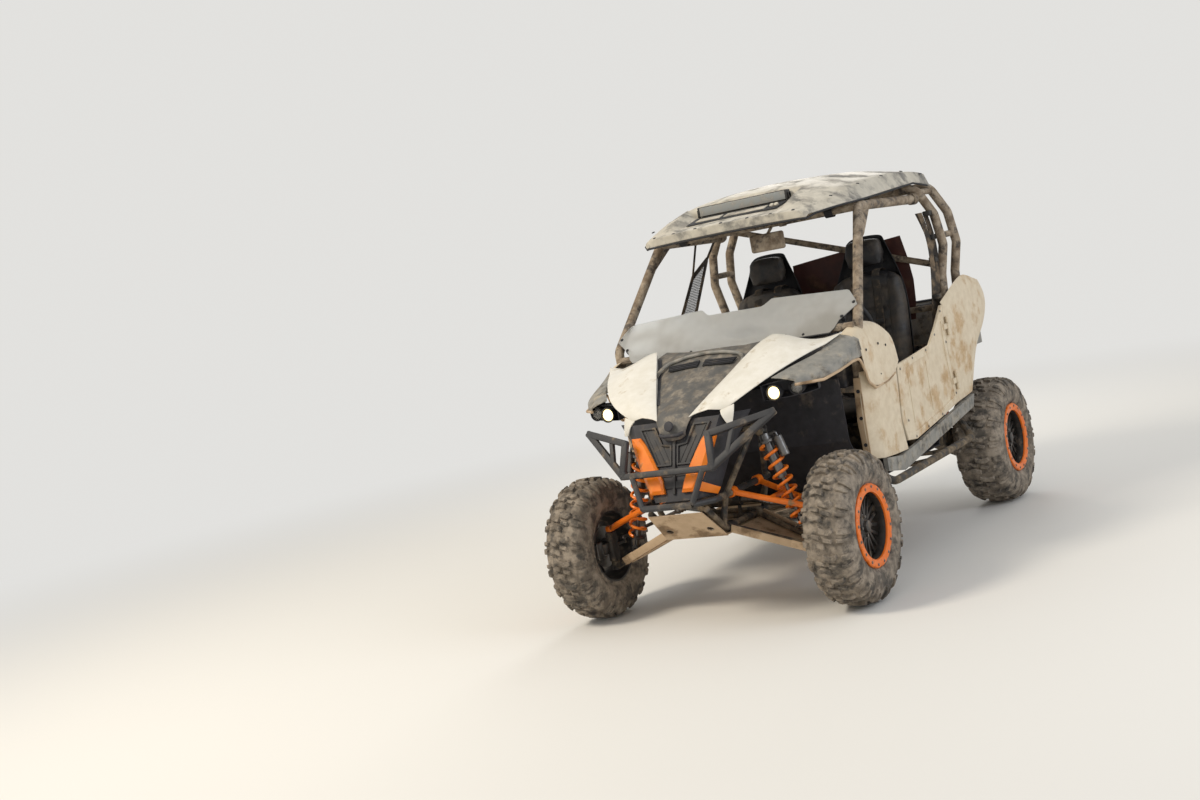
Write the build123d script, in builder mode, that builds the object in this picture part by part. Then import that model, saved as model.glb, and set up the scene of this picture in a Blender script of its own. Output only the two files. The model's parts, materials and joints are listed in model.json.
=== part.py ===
from build123d import *
from math import atan2, cos, degrees, radians, sin, tan
import os

os.makedirs("parts", exist_ok=True)

# A two-seat off-road buggy. Millimetres, +Z up, the nose towards -Y, its left side towards +X.
# The origin is on the ground, midway between the axles.

# Overall sizes
wheelbase = 2140
overall_length = 3000
overall_width = 1626
overall_height = 2010
ground_clearance = 408

front_axle_y = -wheelbase / 2
rear_axle_y = wheelbase / 2
nose_y = -overall_length / 2
tail_y = overall_length / 2

# Fits
seat_gap = 0.3
run_gap = 0.5

# Round forms are drawn with flat sides, which keeps the model light
wheel_sides = 24
tube_sides = 8

# Wheels
tyre_r = 356
lug_h = 16
lug_w = 34
lug_skew = 6
lug_pitches = 16
bead_r = 178
front_tyre_w = 230
rear_tyre_w = 280
ring_r = 192
ring_inner_r = 150
ring_t = 14
ring_inset = 8
rim_wall = 9
rim_web_t = 14
rim_dish = 62
hub_r = 44
spindle_r = 25
disc_r = 108
disc_t = 6
disc_x_in = 90
window_count = 10

# Steering and front suspension
kingpin_inset = 88
kingpin_x = (overall_width - front_tyre_w) / 2 - kingpin_inset
knuckle_h = 150
steering_arm = 105
arm_tube_r = 14
eye_r = 22
eye_h = 26
upper_pivot_x = 190
upper_pivot_z = 595
lower_pivot_x = 150
arm_spread = 0.27
arm_root = 18
shock_top = (330, 845)
spring_r = 46
rack_z = 510
rack_half = 190
rack_r = 14
tie_rod_r = 9

# Frame and cage
rail_r = 16
skid_t = 5
cage_r = 22
hoop_y = 680
rear_hoop_y = 895
panel_t = 5

sleeve_r = rail_r + 8
rail_z = ground_clearance + skid_t + seat_gap + sleeve_r
skid_bend_y = -1265
skid_tip = (-1431, 555)


def save(piece, name):
    """Name a finished piece and write it."""
    piece.label = name
    export_step(piece, f"parts/{name}.step")


def save_pair(piece, name):
    """Write a left-hand piece and its mirror image."""
    save(piece, f"{name}_left")
    save(mirror(piece, about=Plane.YZ), f"{name}_right")


def bent(points, bend):
    """A route's points, each wide corner cut back to a bend of two short runs."""
    spots = [Vector(*point) for point in points]
    route = [spots[0]]
    for before, corner, after in zip(spots, spots[1:], spots[2:]):
        back = (before - corner).normalized()
        ahead = (after - corner).normalized()
        half_angle = radians(back.get_angle(ahead)) / 2
        cut_back = bend / tan(half_angle)
        if cut_back < bend / 4:
            route.append(corner)
        else:
            middle = (back + ahead).normalized() * (bend / sin(half_angle) - bend)
            route += [corner + back * cut_back, corner + middle, corner + ahead * cut_back]
    return route + [spots[-1]]


def bar(points, radius, bend=0, sides=tube_sides, mode=Mode.ADD):
    """Add a bar of many sides along the points, its corners bent, to the part in hand."""
    with BuildLine() as route:
        Polyline(*(bent(points, bend) if bend else points))
    with BuildSketch(Plane(origin=route.line @ 0, z_dir=route.line % 0)) as section:
        RegularPolygon(radius, sides, major_radius=False, rotation=180 / sides)
    sweep(section.sketch, path=route.line, transition=Transition.RIGHT, mode=mode)


def skin(rows, wall, tail_wall=None, tail_rows=0):
    """A sheet of flat facets over rows of points, its inner side shifted by the wall vector.

    The last rows may have a wall vector of their own.
    """
    outer = [[Vector(*point) for point in row] for row in rows]
    shifts = [Vector(*wall)] * (len(rows) - tail_rows) + [Vector(*(tail_wall or wall))] * tail_rows
    inner = [[point + shift for point in row] for row, shift in zip(outer, shifts)]
    facets = []
    for out_row, out_next, in_row, in_next in zip(outer, outer[1:], inner, inner[1:]):
        for i in range(len(out_row) - 1):
            facets += [(out_row[i], out_row[i + 1], out_next[i + 1]), (out_row[i], out_next[i + 1], out_next[i])]
            facets += [(in_row[i], in_next[i + 1], in_row[i + 1]), (in_row[i], in_next[i], in_next[i + 1])]
    edges = []
    for grid in (outer, inner):
        edges.append(grid[0] + [row[-1] for row in grid[1:]] + grid[-1][-2::-1] + [row[0] for row in grid[-2:0:-1]])
    for a, b, c, d in zip(edges[0], edges[0][1:] + edges[0][:1], edges[1][1:] + edges[1][:1], edges[1]):
        facets += [(a, b, c), (a, c, d)]
    if sum(a.dot(b.cross(c)) for a, b, c in facets) < 0:
        facets = [(c, b, a) for a, b, c in facets]
    return Solid(Shell([Face(Wire.make_polygon(corners, close=True)) for corners in facets]))


def mirrored(point):
    """The same point on the other side."""
    return Vector(-point.X, point.Y, point.Z)


def both_sides(row):
    """A row of points from the middle outwards, with its mirror image put before it."""
    return [(-x, y, z) for x, y, z in reversed(row[1:])] + list(row)


def across(y):
    """The plane across the car at y: its x is X, its y is Z."""
    return Plane.XZ.offset(-y)


def alongside(x):
    """The plane along the car at x: its x is Y, its y is Z."""
    return Plane.YZ.offset(x)


def wheel_face(side, x, y, out):
    """The plane of a wheel's outer side, out from its mid-plane."""
    return Plane(origin=(side * (x + out), y, tyre_r), x_dir=(0, side, 0), z_dir=(side, 0, 0))


# Wheels: name, side, axle, tyre width
wheels = [
    ("fl", 1, front_axle_y, front_tyre_w),
    ("fr", -1, front_axle_y, front_tyre_w),
    ("rl", 1, rear_axle_y, rear_tyre_w),
    ("rr", -1, rear_axle_y, rear_tyre_w),
]

for corner, side, axle_y, width in wheels:
    half = width / 2
    centre_x = overall_width / 2 - half
    seat = half - ring_inset - ring_t
    axle = Axis((side * centre_x, axle_y, tyre_r), (1, 0, 0))
    bead = bead_r + seat_gap

    # Tyre: a ring with hollow cheeks, and two rows of slanting lugs that step down its shoulders
    with BuildPart() as tyre:
        for x, r in ((-half, bead + 84), (-half + 14, tyre_r - 40), (-half + 32, tyre_r - lug_h),
                     (half - 32, tyre_r - lug_h), (half - 14, tyre_r - 40), (half, bead + 84)):
            with BuildSketch(wheel_face(side, centre_x, axle_y, x)):
                RegularPolygon(r, wheel_sides)
        loft(ruled=True)
        for end in (-1, 1):
            for x, r in ((half + 1, bead + 88), (seat - seat_gap, ring_r + run_gap)):
                with BuildSketch(wheel_face(side, centre_x, axle_y, end * x)):
                    RegularPolygon(r, wheel_sides)
            loft(ruled=True, mode=Mode.SUBTRACT)
        with BuildSketch(wheel_face(side, centre_x, axle_y, -half)):
            RegularPolygon(bead, wheel_sides)
        extrude(amount=width, mode=Mode.SUBTRACT)
        lug_planes = []
        for row, shift in ((1, 0), (-1, 0.5)):
            for pitch in range(lug_pitches):
                turn = radians(-90 + (pitch + shift) * 360 / lug_pitches)
                radial = Vector(0, cos(turn), sin(turn))
                around = Vector(0, -sin(turn), cos(turn))
                along = Vector(side * row, 0, 0) * cos(radians(lug_skew)) + around * sin(radians(lug_skew))
                lug_planes.append(
                    Plane(origin=(side * centre_x, axle_y, tyre_r), x_dir=along, z_dir=along.cross(radial))
                )
        with BuildSketch(*lug_planes):
            with BuildLine():
                Polyline(
                    (-14, tyre_r - lug_h - 6), (-14, tyre_r), (half - 26, tyre_r), (half - 3, tyre_r - 34),
                    (half - 3, tyre_r - 70), (half - 16, tyre_r - 70), close=True,
                )
            make_face()
        extrude(amount=lug_w / 2, both=True)
    save(tyre.part, f"tyre_{corner}")

    # Rim: a barrel, a web with windows, a hub and its brake disc
    web = half - rim_dish
    with BuildPart() as rim:
        with BuildSketch(wheel_face(side, centre_x, axle_y, -seat)):
            RegularPolygon(bead_r, wheel_sides)
            RegularPolygon(bead_r - rim_wall, wheel_sides, mode=Mode.SUBTRACT)
        extrude(amount=2 * seat - seat_gap)
        with BuildSketch(wheel_face(side, centre_x, axle_y, web)):
            RegularPolygon(bead_r - rim_wall / 2, wheel_sides)
            with PolarLocations(108, window_count):
                Polygon((-40, -13), (42, -34), (42, 34), (-40, 13), align=None, mode=Mode.SUBTRACT)
        extrude(amount=-rim_web_t)
        for start, depth, r in ((web - rim_web_t, disc_x_in - rim_web_t, hub_r), (web - disc_x_in, -disc_t, disc_r)):
            with BuildSketch(wheel_face(side, centre_x, axle_y, start)):
                RegularPolygon(r, 16)
            extrude(amount=-depth)
        with BuildSketch(wheel_face(side, centre_x, axle_y, web)):
            Circle(spindle_r + run_gap)
        extrude(amount=-disc_x_in, mode=Mode.SUBTRACT)
    save(rim.part, f"rim_{corner}")

    # Clamp ring, on the outer bead
    with BuildPart() as ring:
        with BuildSketch(wheel_face(side, centre_x, axle_y, seat)):
            RegularPolygon(ring_r, wheel_sides)
            RegularPolygon(ring_inner_r, wheel_sides, mode=Mode.SUBTRACT)
        extrude(amount=ring_t)
    save(ring.part, f"ring_{corner}")


# Front knuckles: a post on the kingpin, the spindle, the steering arm and the caliper
post_low = tyre_r - knuckle_h / 2
post_high = tyre_r + knuckle_h / 2
front_wheel_x = (overall_width - front_tyre_w) / 2
front_web_x = front_wheel_x + front_tyre_w / 2 - rim_dish
disc_x = front_web_x - disc_x_in
with BuildPart() as knuckle:
    with BuildSketch(Plane.XY.offset(post_low)):
        with Locations((kingpin_x, front_axle_y)):
            RectangleRounded(34, 62, 8)
    extrude(amount=knuckle_h)
    with BuildSketch(Plane.YZ.offset(kingpin_x)):
        with Locations((front_axle_y, tyre_r)):
            Circle(spindle_r)
    extrude(amount=front_web_x - kingpin_x)
    with BuildSketch(Plane.XY.offset(tyre_r - 8)):
        with BuildLine():
            Polyline(
                (kingpin_x - 14, front_axle_y + 26), (kingpin_x + 14, front_axle_y + 26),
                (kingpin_x + 12, front_axle_y + steering_arm + 12),
                (kingpin_x - 12, front_axle_y + steering_arm + 12), close=True,
            )
        make_face()
    extrude(amount=16)
    with BuildSketch(Plane.YZ.offset(kingpin_x + 2)):
        with Locations((front_axle_y - disc_r / 2 - 10, tyre_r)):
            Rectangle(disc_r + 24, 60)
    extrude(amount=14)
    with BuildSketch(Plane.YZ.offset(kingpin_x + 2)):
        with Locations((front_axle_y - disc_r + 6, tyre_r)):
            Rectangle(56, 90)
    extrude(amount=disc_x + disc_t + 16 - kingpin_x - 2)
    with BuildSketch(Plane.YZ.offset(disc_x - 4)):
        with Locations((front_axle_y, tyre_r)):
            Circle(disc_r + 4)
    extrude(amount=disc_t + 8, mode=Mode.SUBTRACT)
    with BuildSketch(Plane.YZ.offset(kingpin_x + 17)):
        with Locations((front_axle_y, tyre_r)):
            Circle(hub_r + 6)
    extrude(amount=disc_x + disc_t + 20 - kingpin_x - 17, mode=Mode.SUBTRACT)
    with BuildSketch(Plane.YZ.offset(kingpin_x)):
        with Locations((front_axle_y, tyre_r)):
            Circle(spindle_r)
    extrude(amount=front_web_x - kingpin_x)
save_pair(knuckle.part, "knuckle")


# Front arms: node, inner pivot x and z, foot and height of the outer eye, height of the tubes there
lower_eye_h = 44
upper_eye_z = post_high + run_gap
lower_eye_z = post_low - run_gap - lower_eye_h
arms = [
    ("upper_arms", upper_pivot_x, upper_pivot_z, upper_eye_z, eye_h, upper_eye_z + eye_h / 2),
    ("lower_arms", lower_pivot_x, rail_z, lower_eye_z, lower_eye_h, lower_eye_z + arm_tube_r),
]
for name, pivot_x, pivot_z, eye_foot, eye_height, eye_z in arms:
    reach = kingpin_x - pivot_x
    spread = arm_root + reach * arm_spread
    with BuildPart() as arm:
        for end in (-1, 1):
            bar(
                [(kingpin_x - 6, front_axle_y + end * 6, eye_z),
                 (kingpin_x - 60, front_axle_y + end * 30, eye_z + 60 * (pivot_z - eye_z) / reach),
                 (pivot_x, front_axle_y + end * spread, pivot_z)],
                arm_tube_r, 60,
            )
            bar(
                [(pivot_x, front_axle_y + end * spread - 22, pivot_z),
                 (pivot_x, front_axle_y + end * spread + 22, pivot_z)],
                sleeve_r,
            )
        tie = 0.30
        tie_x = kingpin_x - reach * tie
        tie_y = arm_root + reach * tie * arm_spread
        tie_z = eye_z + (pivot_z - eye_z) * tie
        if name == "lower_arms":
            bar([(tie_x, front_axle_y - tie_y, tie_z), (tie_x, front_axle_y + tie_y, tie_z)], arm_tube_r - 1)
        with BuildSketch(Plane.XY.offset(eye_foot)):
            with Locations((kingpin_x, front_axle_y)):
                Circle(eye_r)
        extrude(amount=eye_height)
        with BuildSketch(across(front_axle_y - spread - 60)):
            with Locations((pivot_x, pivot_z)):
                RegularPolygon(rail_r + seat_gap, tube_sides, major_radius=False, rotation=180 / tube_sides)
        extrude(amount=-2 * spread - 120, mode=Mode.SUBTRACT)
        mirror(about=Plane.YZ)
    save(arm.part, name)
    if name == "lower_arms":
        mount_x, mount_z = tie_x, tie_z + arm_tube_r

# Plastic guards under the lower arms
slope = degrees(atan2(rail_z - lower_eye_z - arm_tube_r, kingpin_x - lower_pivot_x))
drop = arm_tube_r + seat_gap
guard_plane = Plane(
    origin=(lower_pivot_x - drop * sin(radians(slope)), front_axle_y, rail_z - drop * cos(radians(slope))),
    x_dir=(cos(radians(slope)), 0, -sin(radians(slope))),
    z_dir=(-sin(radians(slope)), 0, -cos(radians(slope))),
)
with BuildPart() as guard:
    with BuildSketch(guard_plane):
        with BuildLine():
            Polyline((30, 146), (30, -146), (380, -66), (400, -40), (400, 40), (380, 66), close=True)
        make_face()
    extrude(amount=panel_t)
    mirror(about=Plane.YZ)
save(guard.part, "arm_guards")

# Steering rack with its tie rods
rod_end_z = tyre_r + 8 + 1 + 9
with BuildPart() as rack:
    bar([(-rack_half, front_axle_y + steering_arm, rack_z), (rack_half, front_axle_y + steering_arm, rack_z)], rack_r)
    bar(
        [(rack_half - 12, front_axle_y + steering_arm, rack_z),
         (kingpin_x - 4, front_axle_y + steering_arm, rod_end_z)],
        tie_rod_r,
    )
    with BuildSketch(Plane.XY.offset(rod_end_z - 9)):
        with Locations((kingpin_x, front_axle_y + steering_arm)):
            RegularPolygon(13, 8)
    extrude(amount=18)
    mirror(about=Plane.YZ)
save(rack.part, "steering_rack")


# Shocks: the top and bottom eyes of the left-hand ones
shock_eye_r = 17
shock_eyes = [
    ((shock_top[0], front_axle_y, shock_top[1]), (mount_x, front_axle_y, mount_z + shock_eye_r + seat_gap)),
    ((400, rear_hoop_y - 20 - 18 - seat_gap, 950), (440, 960, 476)),
]
# the shock's parts: start and end along it, from its foot or from its head where negative, and radius
shock_parts = [
    (6, 52, 13), (52, 60, spring_r - 3), (60, 110, 20), (96, -212, 11), (-216, -40, 24), (-58, -50, spring_r - 3),
    (-50, -6, 13),
]
coil_turns = 6.5
coil_steps = 6
wire_r = 6
with BuildPart() as shocks:
    for top, bottom in shock_eyes:
        foot = Vector(*bottom)
        head = Vector(*top)
        length = (head - foot).length
        along = (head - foot).normalized()
        for start, end, r in shock_parts:
            low = start if start > 0 else length + start
            high = end if end > 0 else length + end
            with BuildSketch(Plane(origin=foot + along * low, z_dir=along)):
                RegularPolygon(r, tube_sides, major_radius=False, rotation=180 / tube_sides)
            extrude(amount=high - low)
        for eye in (foot, head):
            with BuildSketch(across(eye.Y - 20)):
                with Locations((eye.X, eye.Z)):
                    RegularPolygon(shock_eye_r, tube_sides, major_radius=False, rotation=180 / tube_sides)
            extrude(amount=-40)
    mirror(about=Plane.YZ)
save(shocks.part, "shocks")

with BuildPart() as springs:
    for top, bottom in shock_eyes:
        foot = Vector(*bottom)
        head = Vector(*top)
        length = (head - foot).length
        seat_plane = Plane(origin=foot, z_dir=head - foot)
        low = 60 + seat_gap + wire_r + 1
        rise = length - 58 - seat_gap - wire_r - 1 - low
        steps = int(coil_turns * coil_steps)
        coil = []
        for step in range(steps + 1):
            turn = radians(step * 360 / coil_steps)
            r = spring_r - wire_r
            coil.append(seat_plane.from_local_coords((r * cos(turn), r * sin(turn), low + rise * step / steps)))
        bar(coil, wire_r, sides=4)
    mirror(about=Plane.YZ)
save(springs.part, "coil_springs")


# Frame: the lower rails, bent up behind the skid ramp, the front bay and the engine bay
ramp = Vector(0, skid_tip[0] - skid_bend_y, skid_tip[1] - ground_clearance).normalized()
rail_bend = Vector(lower_pivot_x, skid_bend_y + 8, rail_z)
rail_tip = rail_bend + ramp * 185
engine_rail_x = 230
cabin_rail_x = 430
tower_x = shock_top[0] - 24
housing_half = 100
rack_stay_y = -975
with BuildPart() as frame:
    bar(
        [tuple(rail_tip), tuple(rail_bend), (lower_pivot_x, -800, rail_z), (cabin_rail_x, -620, rail_z),
         (cabin_rail_x, 520, rail_z), (engine_rail_x, 760, rail_z), (engine_rail_x, 1330, rail_z + 60)],
        rail_r, 60,
    )
    bar([(upper_pivot_x, -1330, upper_pivot_z), (upper_pivot_x, -820, upper_pivot_z)], rail_r)
    for y, z, lean in ((-1268, rail_z + 10, 168), (-850, rail_z, -190)):
        bar([(lower_pivot_x, y, z), (upper_pivot_x, y, upper_pivot_z), (tower_x, y + lean, 870)], rail_r - 2)
    bar([(tower_x, -1110, 868), (tower_x, -1030, 868)], rail_r)
    bar([(engine_rail_x, 1150, rail_z + 36), (engine_rail_x, 1150, 760)], rail_r - 2)
    bar([(297, hoop_y, rail_z), (297, hoop_y, 620 - cage_r - seat_gap)], rail_r - 2)
    mirror(about=Plane.YZ)
    with BuildSketch(Plane.YZ.offset(-housing_half)):
        with Locations((front_axle_y + steering_arm, rack_z)):
            RegularPolygon(rack_r + 10, tube_sides, major_radius=False, rotation=180 / tube_sides)
            RegularPolygon(
                rack_r + run_gap, tube_sides, major_radius=False, rotation=180 / tube_sides, mode=Mode.SUBTRACT,
            )
    extrude(amount=2 * housing_half)
    for x in (-housing_half + 15, housing_half - 15):
        bar([(x, front_axle_y + steering_arm, rack_z - rack_r - 5), (x, rack_stay_y, rail_z)], 9)
    # cross bars: y, half length, height
    for y, half_x, z in (
        (-1268, lower_pivot_x, rail_z + 10), (rack_stay_y, lower_pivot_x, rail_z),
        (-840, lower_pivot_x, rail_z), (-590, 640, rail_z),
        (0, cabin_rail_x, rail_z), (500, cabin_rail_x, rail_z), (1310, engine_rail_x, rail_z + 58),
        (-1110, tower_x, 868),
    ):
        bar([(-half_x + 4, y, z), (half_x - 4, y, z)], rail_r - 3)
# the front bay is one weldment, the floor and the engine bay another, joined at a flange
frame_joint_y = -610
with BuildPart() as frame_front:
    add(frame.part)
    split(bisect_by=across(frame_joint_y), keep=Keep.TOP)
with BuildPart() as frame_back:
    add(frame.part)
    split(bisect_by=across(frame_joint_y + seat_gap), keep=Keep.BOTTOM)
save(frame_front.part, "frame_front")
save(frame_back.part, "frame_lower")


# Roll cage: two hoops, the windscreen pillars with the roof rails, and the braces
# hoop outline: x and z from the waist up to the roof
hoop = [(664, 1160), (676, 1350), (712, 1510), (690, 1680), (608, 1836)]
hoop_waist = (640, 900)
hoop_top = 1850
pillar = [
    (620, -590, rail_z + rail_r - 3 + 5 * seat_gap), (652, -600, 1050), (683, -557, 1276), (585, -90, 1793),
    (600, hoop_y, 1780),
]
cowl_bar = (-599, 1232)
bed_low = 890
bed_front = rear_hoop_y + cage_r - 4 + seat_gap
bed_back = 1365
hoops = []
for name, y, feet in (("main_hoop", hoop_y, [(560, 620), (620, 720)]), ("rear_hoop", rear_hoop_y, [(640, 840)])):
    with BuildPart() as hoop_tube:
        left = [(x, y, z) for x, z in feet + [hoop_waist] + hoop]
        right = [(-x, y, z) for x, y, z in reversed(left)]
        bar(left + [(0, y, hoop_top)] + right, cage_r)
        if name == "main_hoop":
            bar([(-560, y, 620), (560, y, 620)], cage_r - 2)
            bar([(680, y, 1400), (-600, y, 1822)], cage_r - 4)
            bar([(-664, y, 1180), (664, y, 1180)], cage_r - 4)
        else:
            bar([(-640, y, 950), (640, y, 950)], cage_r - 4)
            for side in (-1, 1):
                bar(
                    [(side * 640, y, 842), (side * 232, 1150, 786), (side * 232, 1150, bed_low - seat_gap)],
                    cage_r - 4,
                )
                for x, z in ((610, 1812), (652, 1060)):
                    bar([(side * x, hoop_y + cage_r + seat_gap, z), (side * x, y, z)], cage_r - 4)
    save(hoop_tube.part, name)
    hoops.append(hoop_tube.part)

with BuildPart() as front_cage:
    for side in (-1, 1):
        bar([(side * x, y, z) for x, y, z in pillar], cage_r, 60)
    bar([(-600, -92, 1790), (600, -92, 1790)], cage_r - 2)
    bar([(-672, *cowl_bar), (672, *cowl_bar)], cage_r - 2)
    add(hoops[0], mode=Mode.SUBTRACT)
save(front_cage.part, "front_cage")


# Belly plate, and the skid plate that ramps up at the nose with its two tow holes
tow_hole_x = 109
tow_hole_up = 74
tow_hole_r = 17
skid_normal = Vector(0, -ramp.Z, ramp.Y)
skid_nose_x = 165
with BuildPart() as belly:
    with BuildSketch(Plane.XY.offset(ground_clearance)):
        Polygon(
            (-250, 780), (-250, -760), (-skid_nose_x, -900), (-skid_nose_x, skid_bend_y),
            (skid_nose_x, skid_bend_y), (skid_nose_x, -900), (250, -760), (250, 780), align=None,
        )
    extrude(amount=skid_t)
save(belly.part, "belly_plate")

with BuildPart() as skid:
    with BuildSketch(alongside(-skid_nose_x)):
        with BuildLine():
            tip_y, tip_z = skid_tip
            foot_y = skid_bend_y - seat_gap
            foot_z = ground_clearance - seat_gap * ramp.Z / ramp.Y
            Polyline(
                (foot_y, foot_z), (tip_y, tip_z), (tip_y + skid_t * ramp.Z, tip_z - skid_t * ramp.Y),
                (foot_y, foot_z - skid_t / ramp.Y), close=True,
            )
        make_face()
    extrude(amount=2 * skid_nose_x)
    with BuildSketch(Plane.XY.offset(ground_clearance - 10)):
        with BuildLine():
            Polyline((-144, tip_y), (144, tip_y), (skid_nose_x, skid_bend_y), (-skid_nose_x, skid_bend_y), close=True)
        make_face()
    extrude(amount=200, mode=Mode.INTERSECT)
    with BuildSketch(Plane(origin=(0, skid_bend_y, ground_clearance), x_dir=(1, 0, 0), z_dir=skid_normal)):
        with Locations((-tow_hole_x, tow_hole_up), (tow_hole_x, tow_hole_up)):
            Circle(tow_hole_r)
    extrude(amount=2 * skid_t, both=True, mode=Mode.SUBTRACT)
save(skid.part, "skid_plate")


# Front bumper: winged tubes and the bars down to the skid plate
bumper_r = 16
with BuildPart() as bumper:
    bar([(-243, -1434, 752), (243, -1434, 752)], bumper_r)
    for side in (-1, 1):
        bar(
            [(side * 240, -1434, 752), (side * 514, -1249, 960), (side * 220, -1388, 905), (side * 240, -1434, 752)],
            bumper_r - 2,
        )
        bar([(side * 190, -1434, 752), (side * 131, nose_y + bumper_r, 601)], bumper_r - 2)
        bar(
            [(side * 131, nose_y + bumper_r, 601), (side * upper_pivot_x, -1380, 596),
             (side * upper_pivot_x, -1330 - seat_gap, upper_pivot_z)],
            bumper_r - 2,
        )
    bar([(-131, nose_y + bumper_r, 601), (131, nose_y + bumper_r, 601)], bumper_r)
save(bumper.part, "front_bumper")

# Rear bumper, on the ends of the frame's rails
rail_end = Vector(engine_rail_x, 1330, rail_z + 60)
rail_run = (rail_end - Vector(engine_rail_x, 760, rail_z)).normalized()
with BuildPart() as rear_bumper:
    bar(
        [tuple(rail_end + rail_run * seat_gap), tuple(rail_end + rail_run * 60), (300, tail_y - bumper_r, 640),
         (-300, tail_y - bumper_r, 640), tuple(mirrored(rail_end + rail_run * 60)),
         tuple(mirrored(rail_end + rail_run * seat_gap))],
        bumper_r, 50,
    )
save(rear_bumper.part, "rear_bumper")


# Nose fascia: a bent shell on the upper front rails, with slanting slats in its two grille windows
fascia_low = upper_pivot_z + rail_r + seat_gap
fascia_high = 966
face_low = (106, -1408)
face_high = (236, -1272)
cheek_low = (280, -1190)
cheek_high = (465, -1100)
fascia_wall = 12
face_up = Vector(0, face_high[1] - face_low[1], fascia_high - fascia_low)
face_plane = Plane(origin=(0, face_low[1], fascia_low), x_dir=(1, 0, 0), z_dir=face_up.cross(Vector(1, 0, 0)) * -1)
slat_pitch = 30
slat_w = 9
with BuildPart() as fascia:
    add(skin(
        [
            both_sides([(0, face_low[1], fascia_low), (*face_low, fascia_low), (*cheek_low, fascia_low)]),
            both_sides([(0, face_high[1], fascia_high), (*face_high, fascia_high), (*cheek_high, fascia_high)]),
        ],
        (0, fascia_wall, 0),
    ))
    for side in (-1, 1):
        with BuildSketch(face_plane):
            Polygon(
                (side * 14, 170), (side * 96, 170), (side * 190, 355), (side * 104, 355), (side * 66, 270),
                (side * 14, 262), align=None,
            )
        extrude(amount=30, both=True, mode=Mode.SUBTRACT)
        with BuildSketch(face_plane):
            for step in range(5):
                x = 34 + step * slat_pitch
                Polygon(
                    (side * (x - 60), 150), (side * (x - 60 + slat_w), 150), (side * (x + 60 + slat_w), 370),
                    (side * (x + 60), 370), align=None,
                )
            Polygon(
                (side * 10, 166), (side * 99, 166), (side * 194, 359), (side * 102, 359), (side * 62, 274),
                (side * 10, 266), align=None, mode=Mode.INTERSECT,
            )
        extrude(amount=-8)
save(fascia.part, "front_fascia")

# Orange accents, one on each side of the grille: height up the face, distance from its edge, width
accent_rows = [(70, 10, 34), (160, 4, 44), (285, 6, 30)]
accent_t = 20
with BuildPart() as accents:
    blade = []
    for up, inset, wide in accent_rows:
        edge = face_low[0] + up / face_up.length * (face_high[0] - face_low[0]) - inset
        blade.append((edge - wide, edge, up))
    for out, shrink in ((seat_gap, 0), (accent_t, 7)):
        with BuildSketch(face_plane.offset(out)):
            right = [(edge - shrink, up) for inner, edge, up in blade]
            left = [(inner + shrink, up) for inner, edge, up in reversed(blade)]
            Polygon(*right, *left, align=None)
    loft(ruled=True)
    mirror(about=Plane.YZ)
save(accents.part, "bumper_accents")


# Hood edge, where each pale wing stands on the middle panel: x, y, height of the panel and of the wing
hood_edge = [
    (88, -1289, 974, 980), (140, -1180, 1030, 1052), (200, -1050, 1085, 1125), (284, -853, 1200, 1244),
    (330, -770, 1228, 1262),
]
edge_lap = 10
with BuildPart() as hood:
    rows = [both_sides([(0, -1331, 888), (40, -1331, 888), (66, -1322, 902)])]
    for x, y, z, wing_z in hood_edge:
        rows.append(both_sides([(0, y, z + 14 - x * 0.06), (x * 0.6, y, z + 8 - x * 0.05), (x + edge_lap, y, z)]))
    rows.append(both_sides([(0, -650, 1219), (200, -650, 1232), (340, -650, 1246)]))
    add(skin(rows, (0, 0, -panel_t)))
    # vent slots at the back of the panel
    with BuildSketch(Plane.XY.offset(1100)):
        for x in (-120, 0, 120):
            with Locations((x, -765)):
                Rectangle(104, 26)
    extrude(amount=200, mode=Mode.SUBTRACT)
    # feet on the fascia's upper edge
    with BuildSketch(Plane.XY.offset(fascia_high + seat_gap)):
        with Locations((-60, face_high[1] + fascia_wall / 2), (60, face_high[1] + fascia_wall / 2)):
            Rectangle(30, fascia_wall - 2)
    extrude(until=Until.NEXT)
save(hood.part, "hood_center")

# Hood wings: the pale blades beside the middle panel, each with its upright inner wall
# the blade's rows from the nose to the tail: inner edge, ridge and outer edge
wing_rows = [
    [(88, -1289, 980), (165, -1265, 1000), (250, -1241, 985)],
    [(140, -1180, 1052), (260, -1190, 1072), (350, -1205, 1040)],
    [(200, -1050, 1125), (340, -1060, 1135), (440, -1120, 1098)],
    [(284, -853, 1244), (420, -880, 1228), (550, -890, 1165)],
    [(330, -770, 1262), (450, -760, 1226), (605, -780, 1196)],
    [(420, -735, 1220), (500, -700, 1176), (655, -705, 1222)],
]
with BuildPart() as wing:
    add(skin(wing_rows, (0, 0, -panel_t)))
    add(skin(
        [[(x, y, z + seat_gap + 0.5) for x, y, z, wing_z in hood_edge], [(x, y, wing_z) for x, y, z, wing_z in hood_edge]],
        (panel_t, 0, 0),
    ))
    add(skin(
        [[(232, -1247, 984), (296, -1224, 1003)], [(244, -1279, 969), (300, -1240, 969)],
         [(268, -1270, 921), (292, -1264, 921)]],
        (0, panel_t, 0),
    ))
    mirror(about=Plane.YZ)
save(wing.part, "hood_wings")


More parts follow.
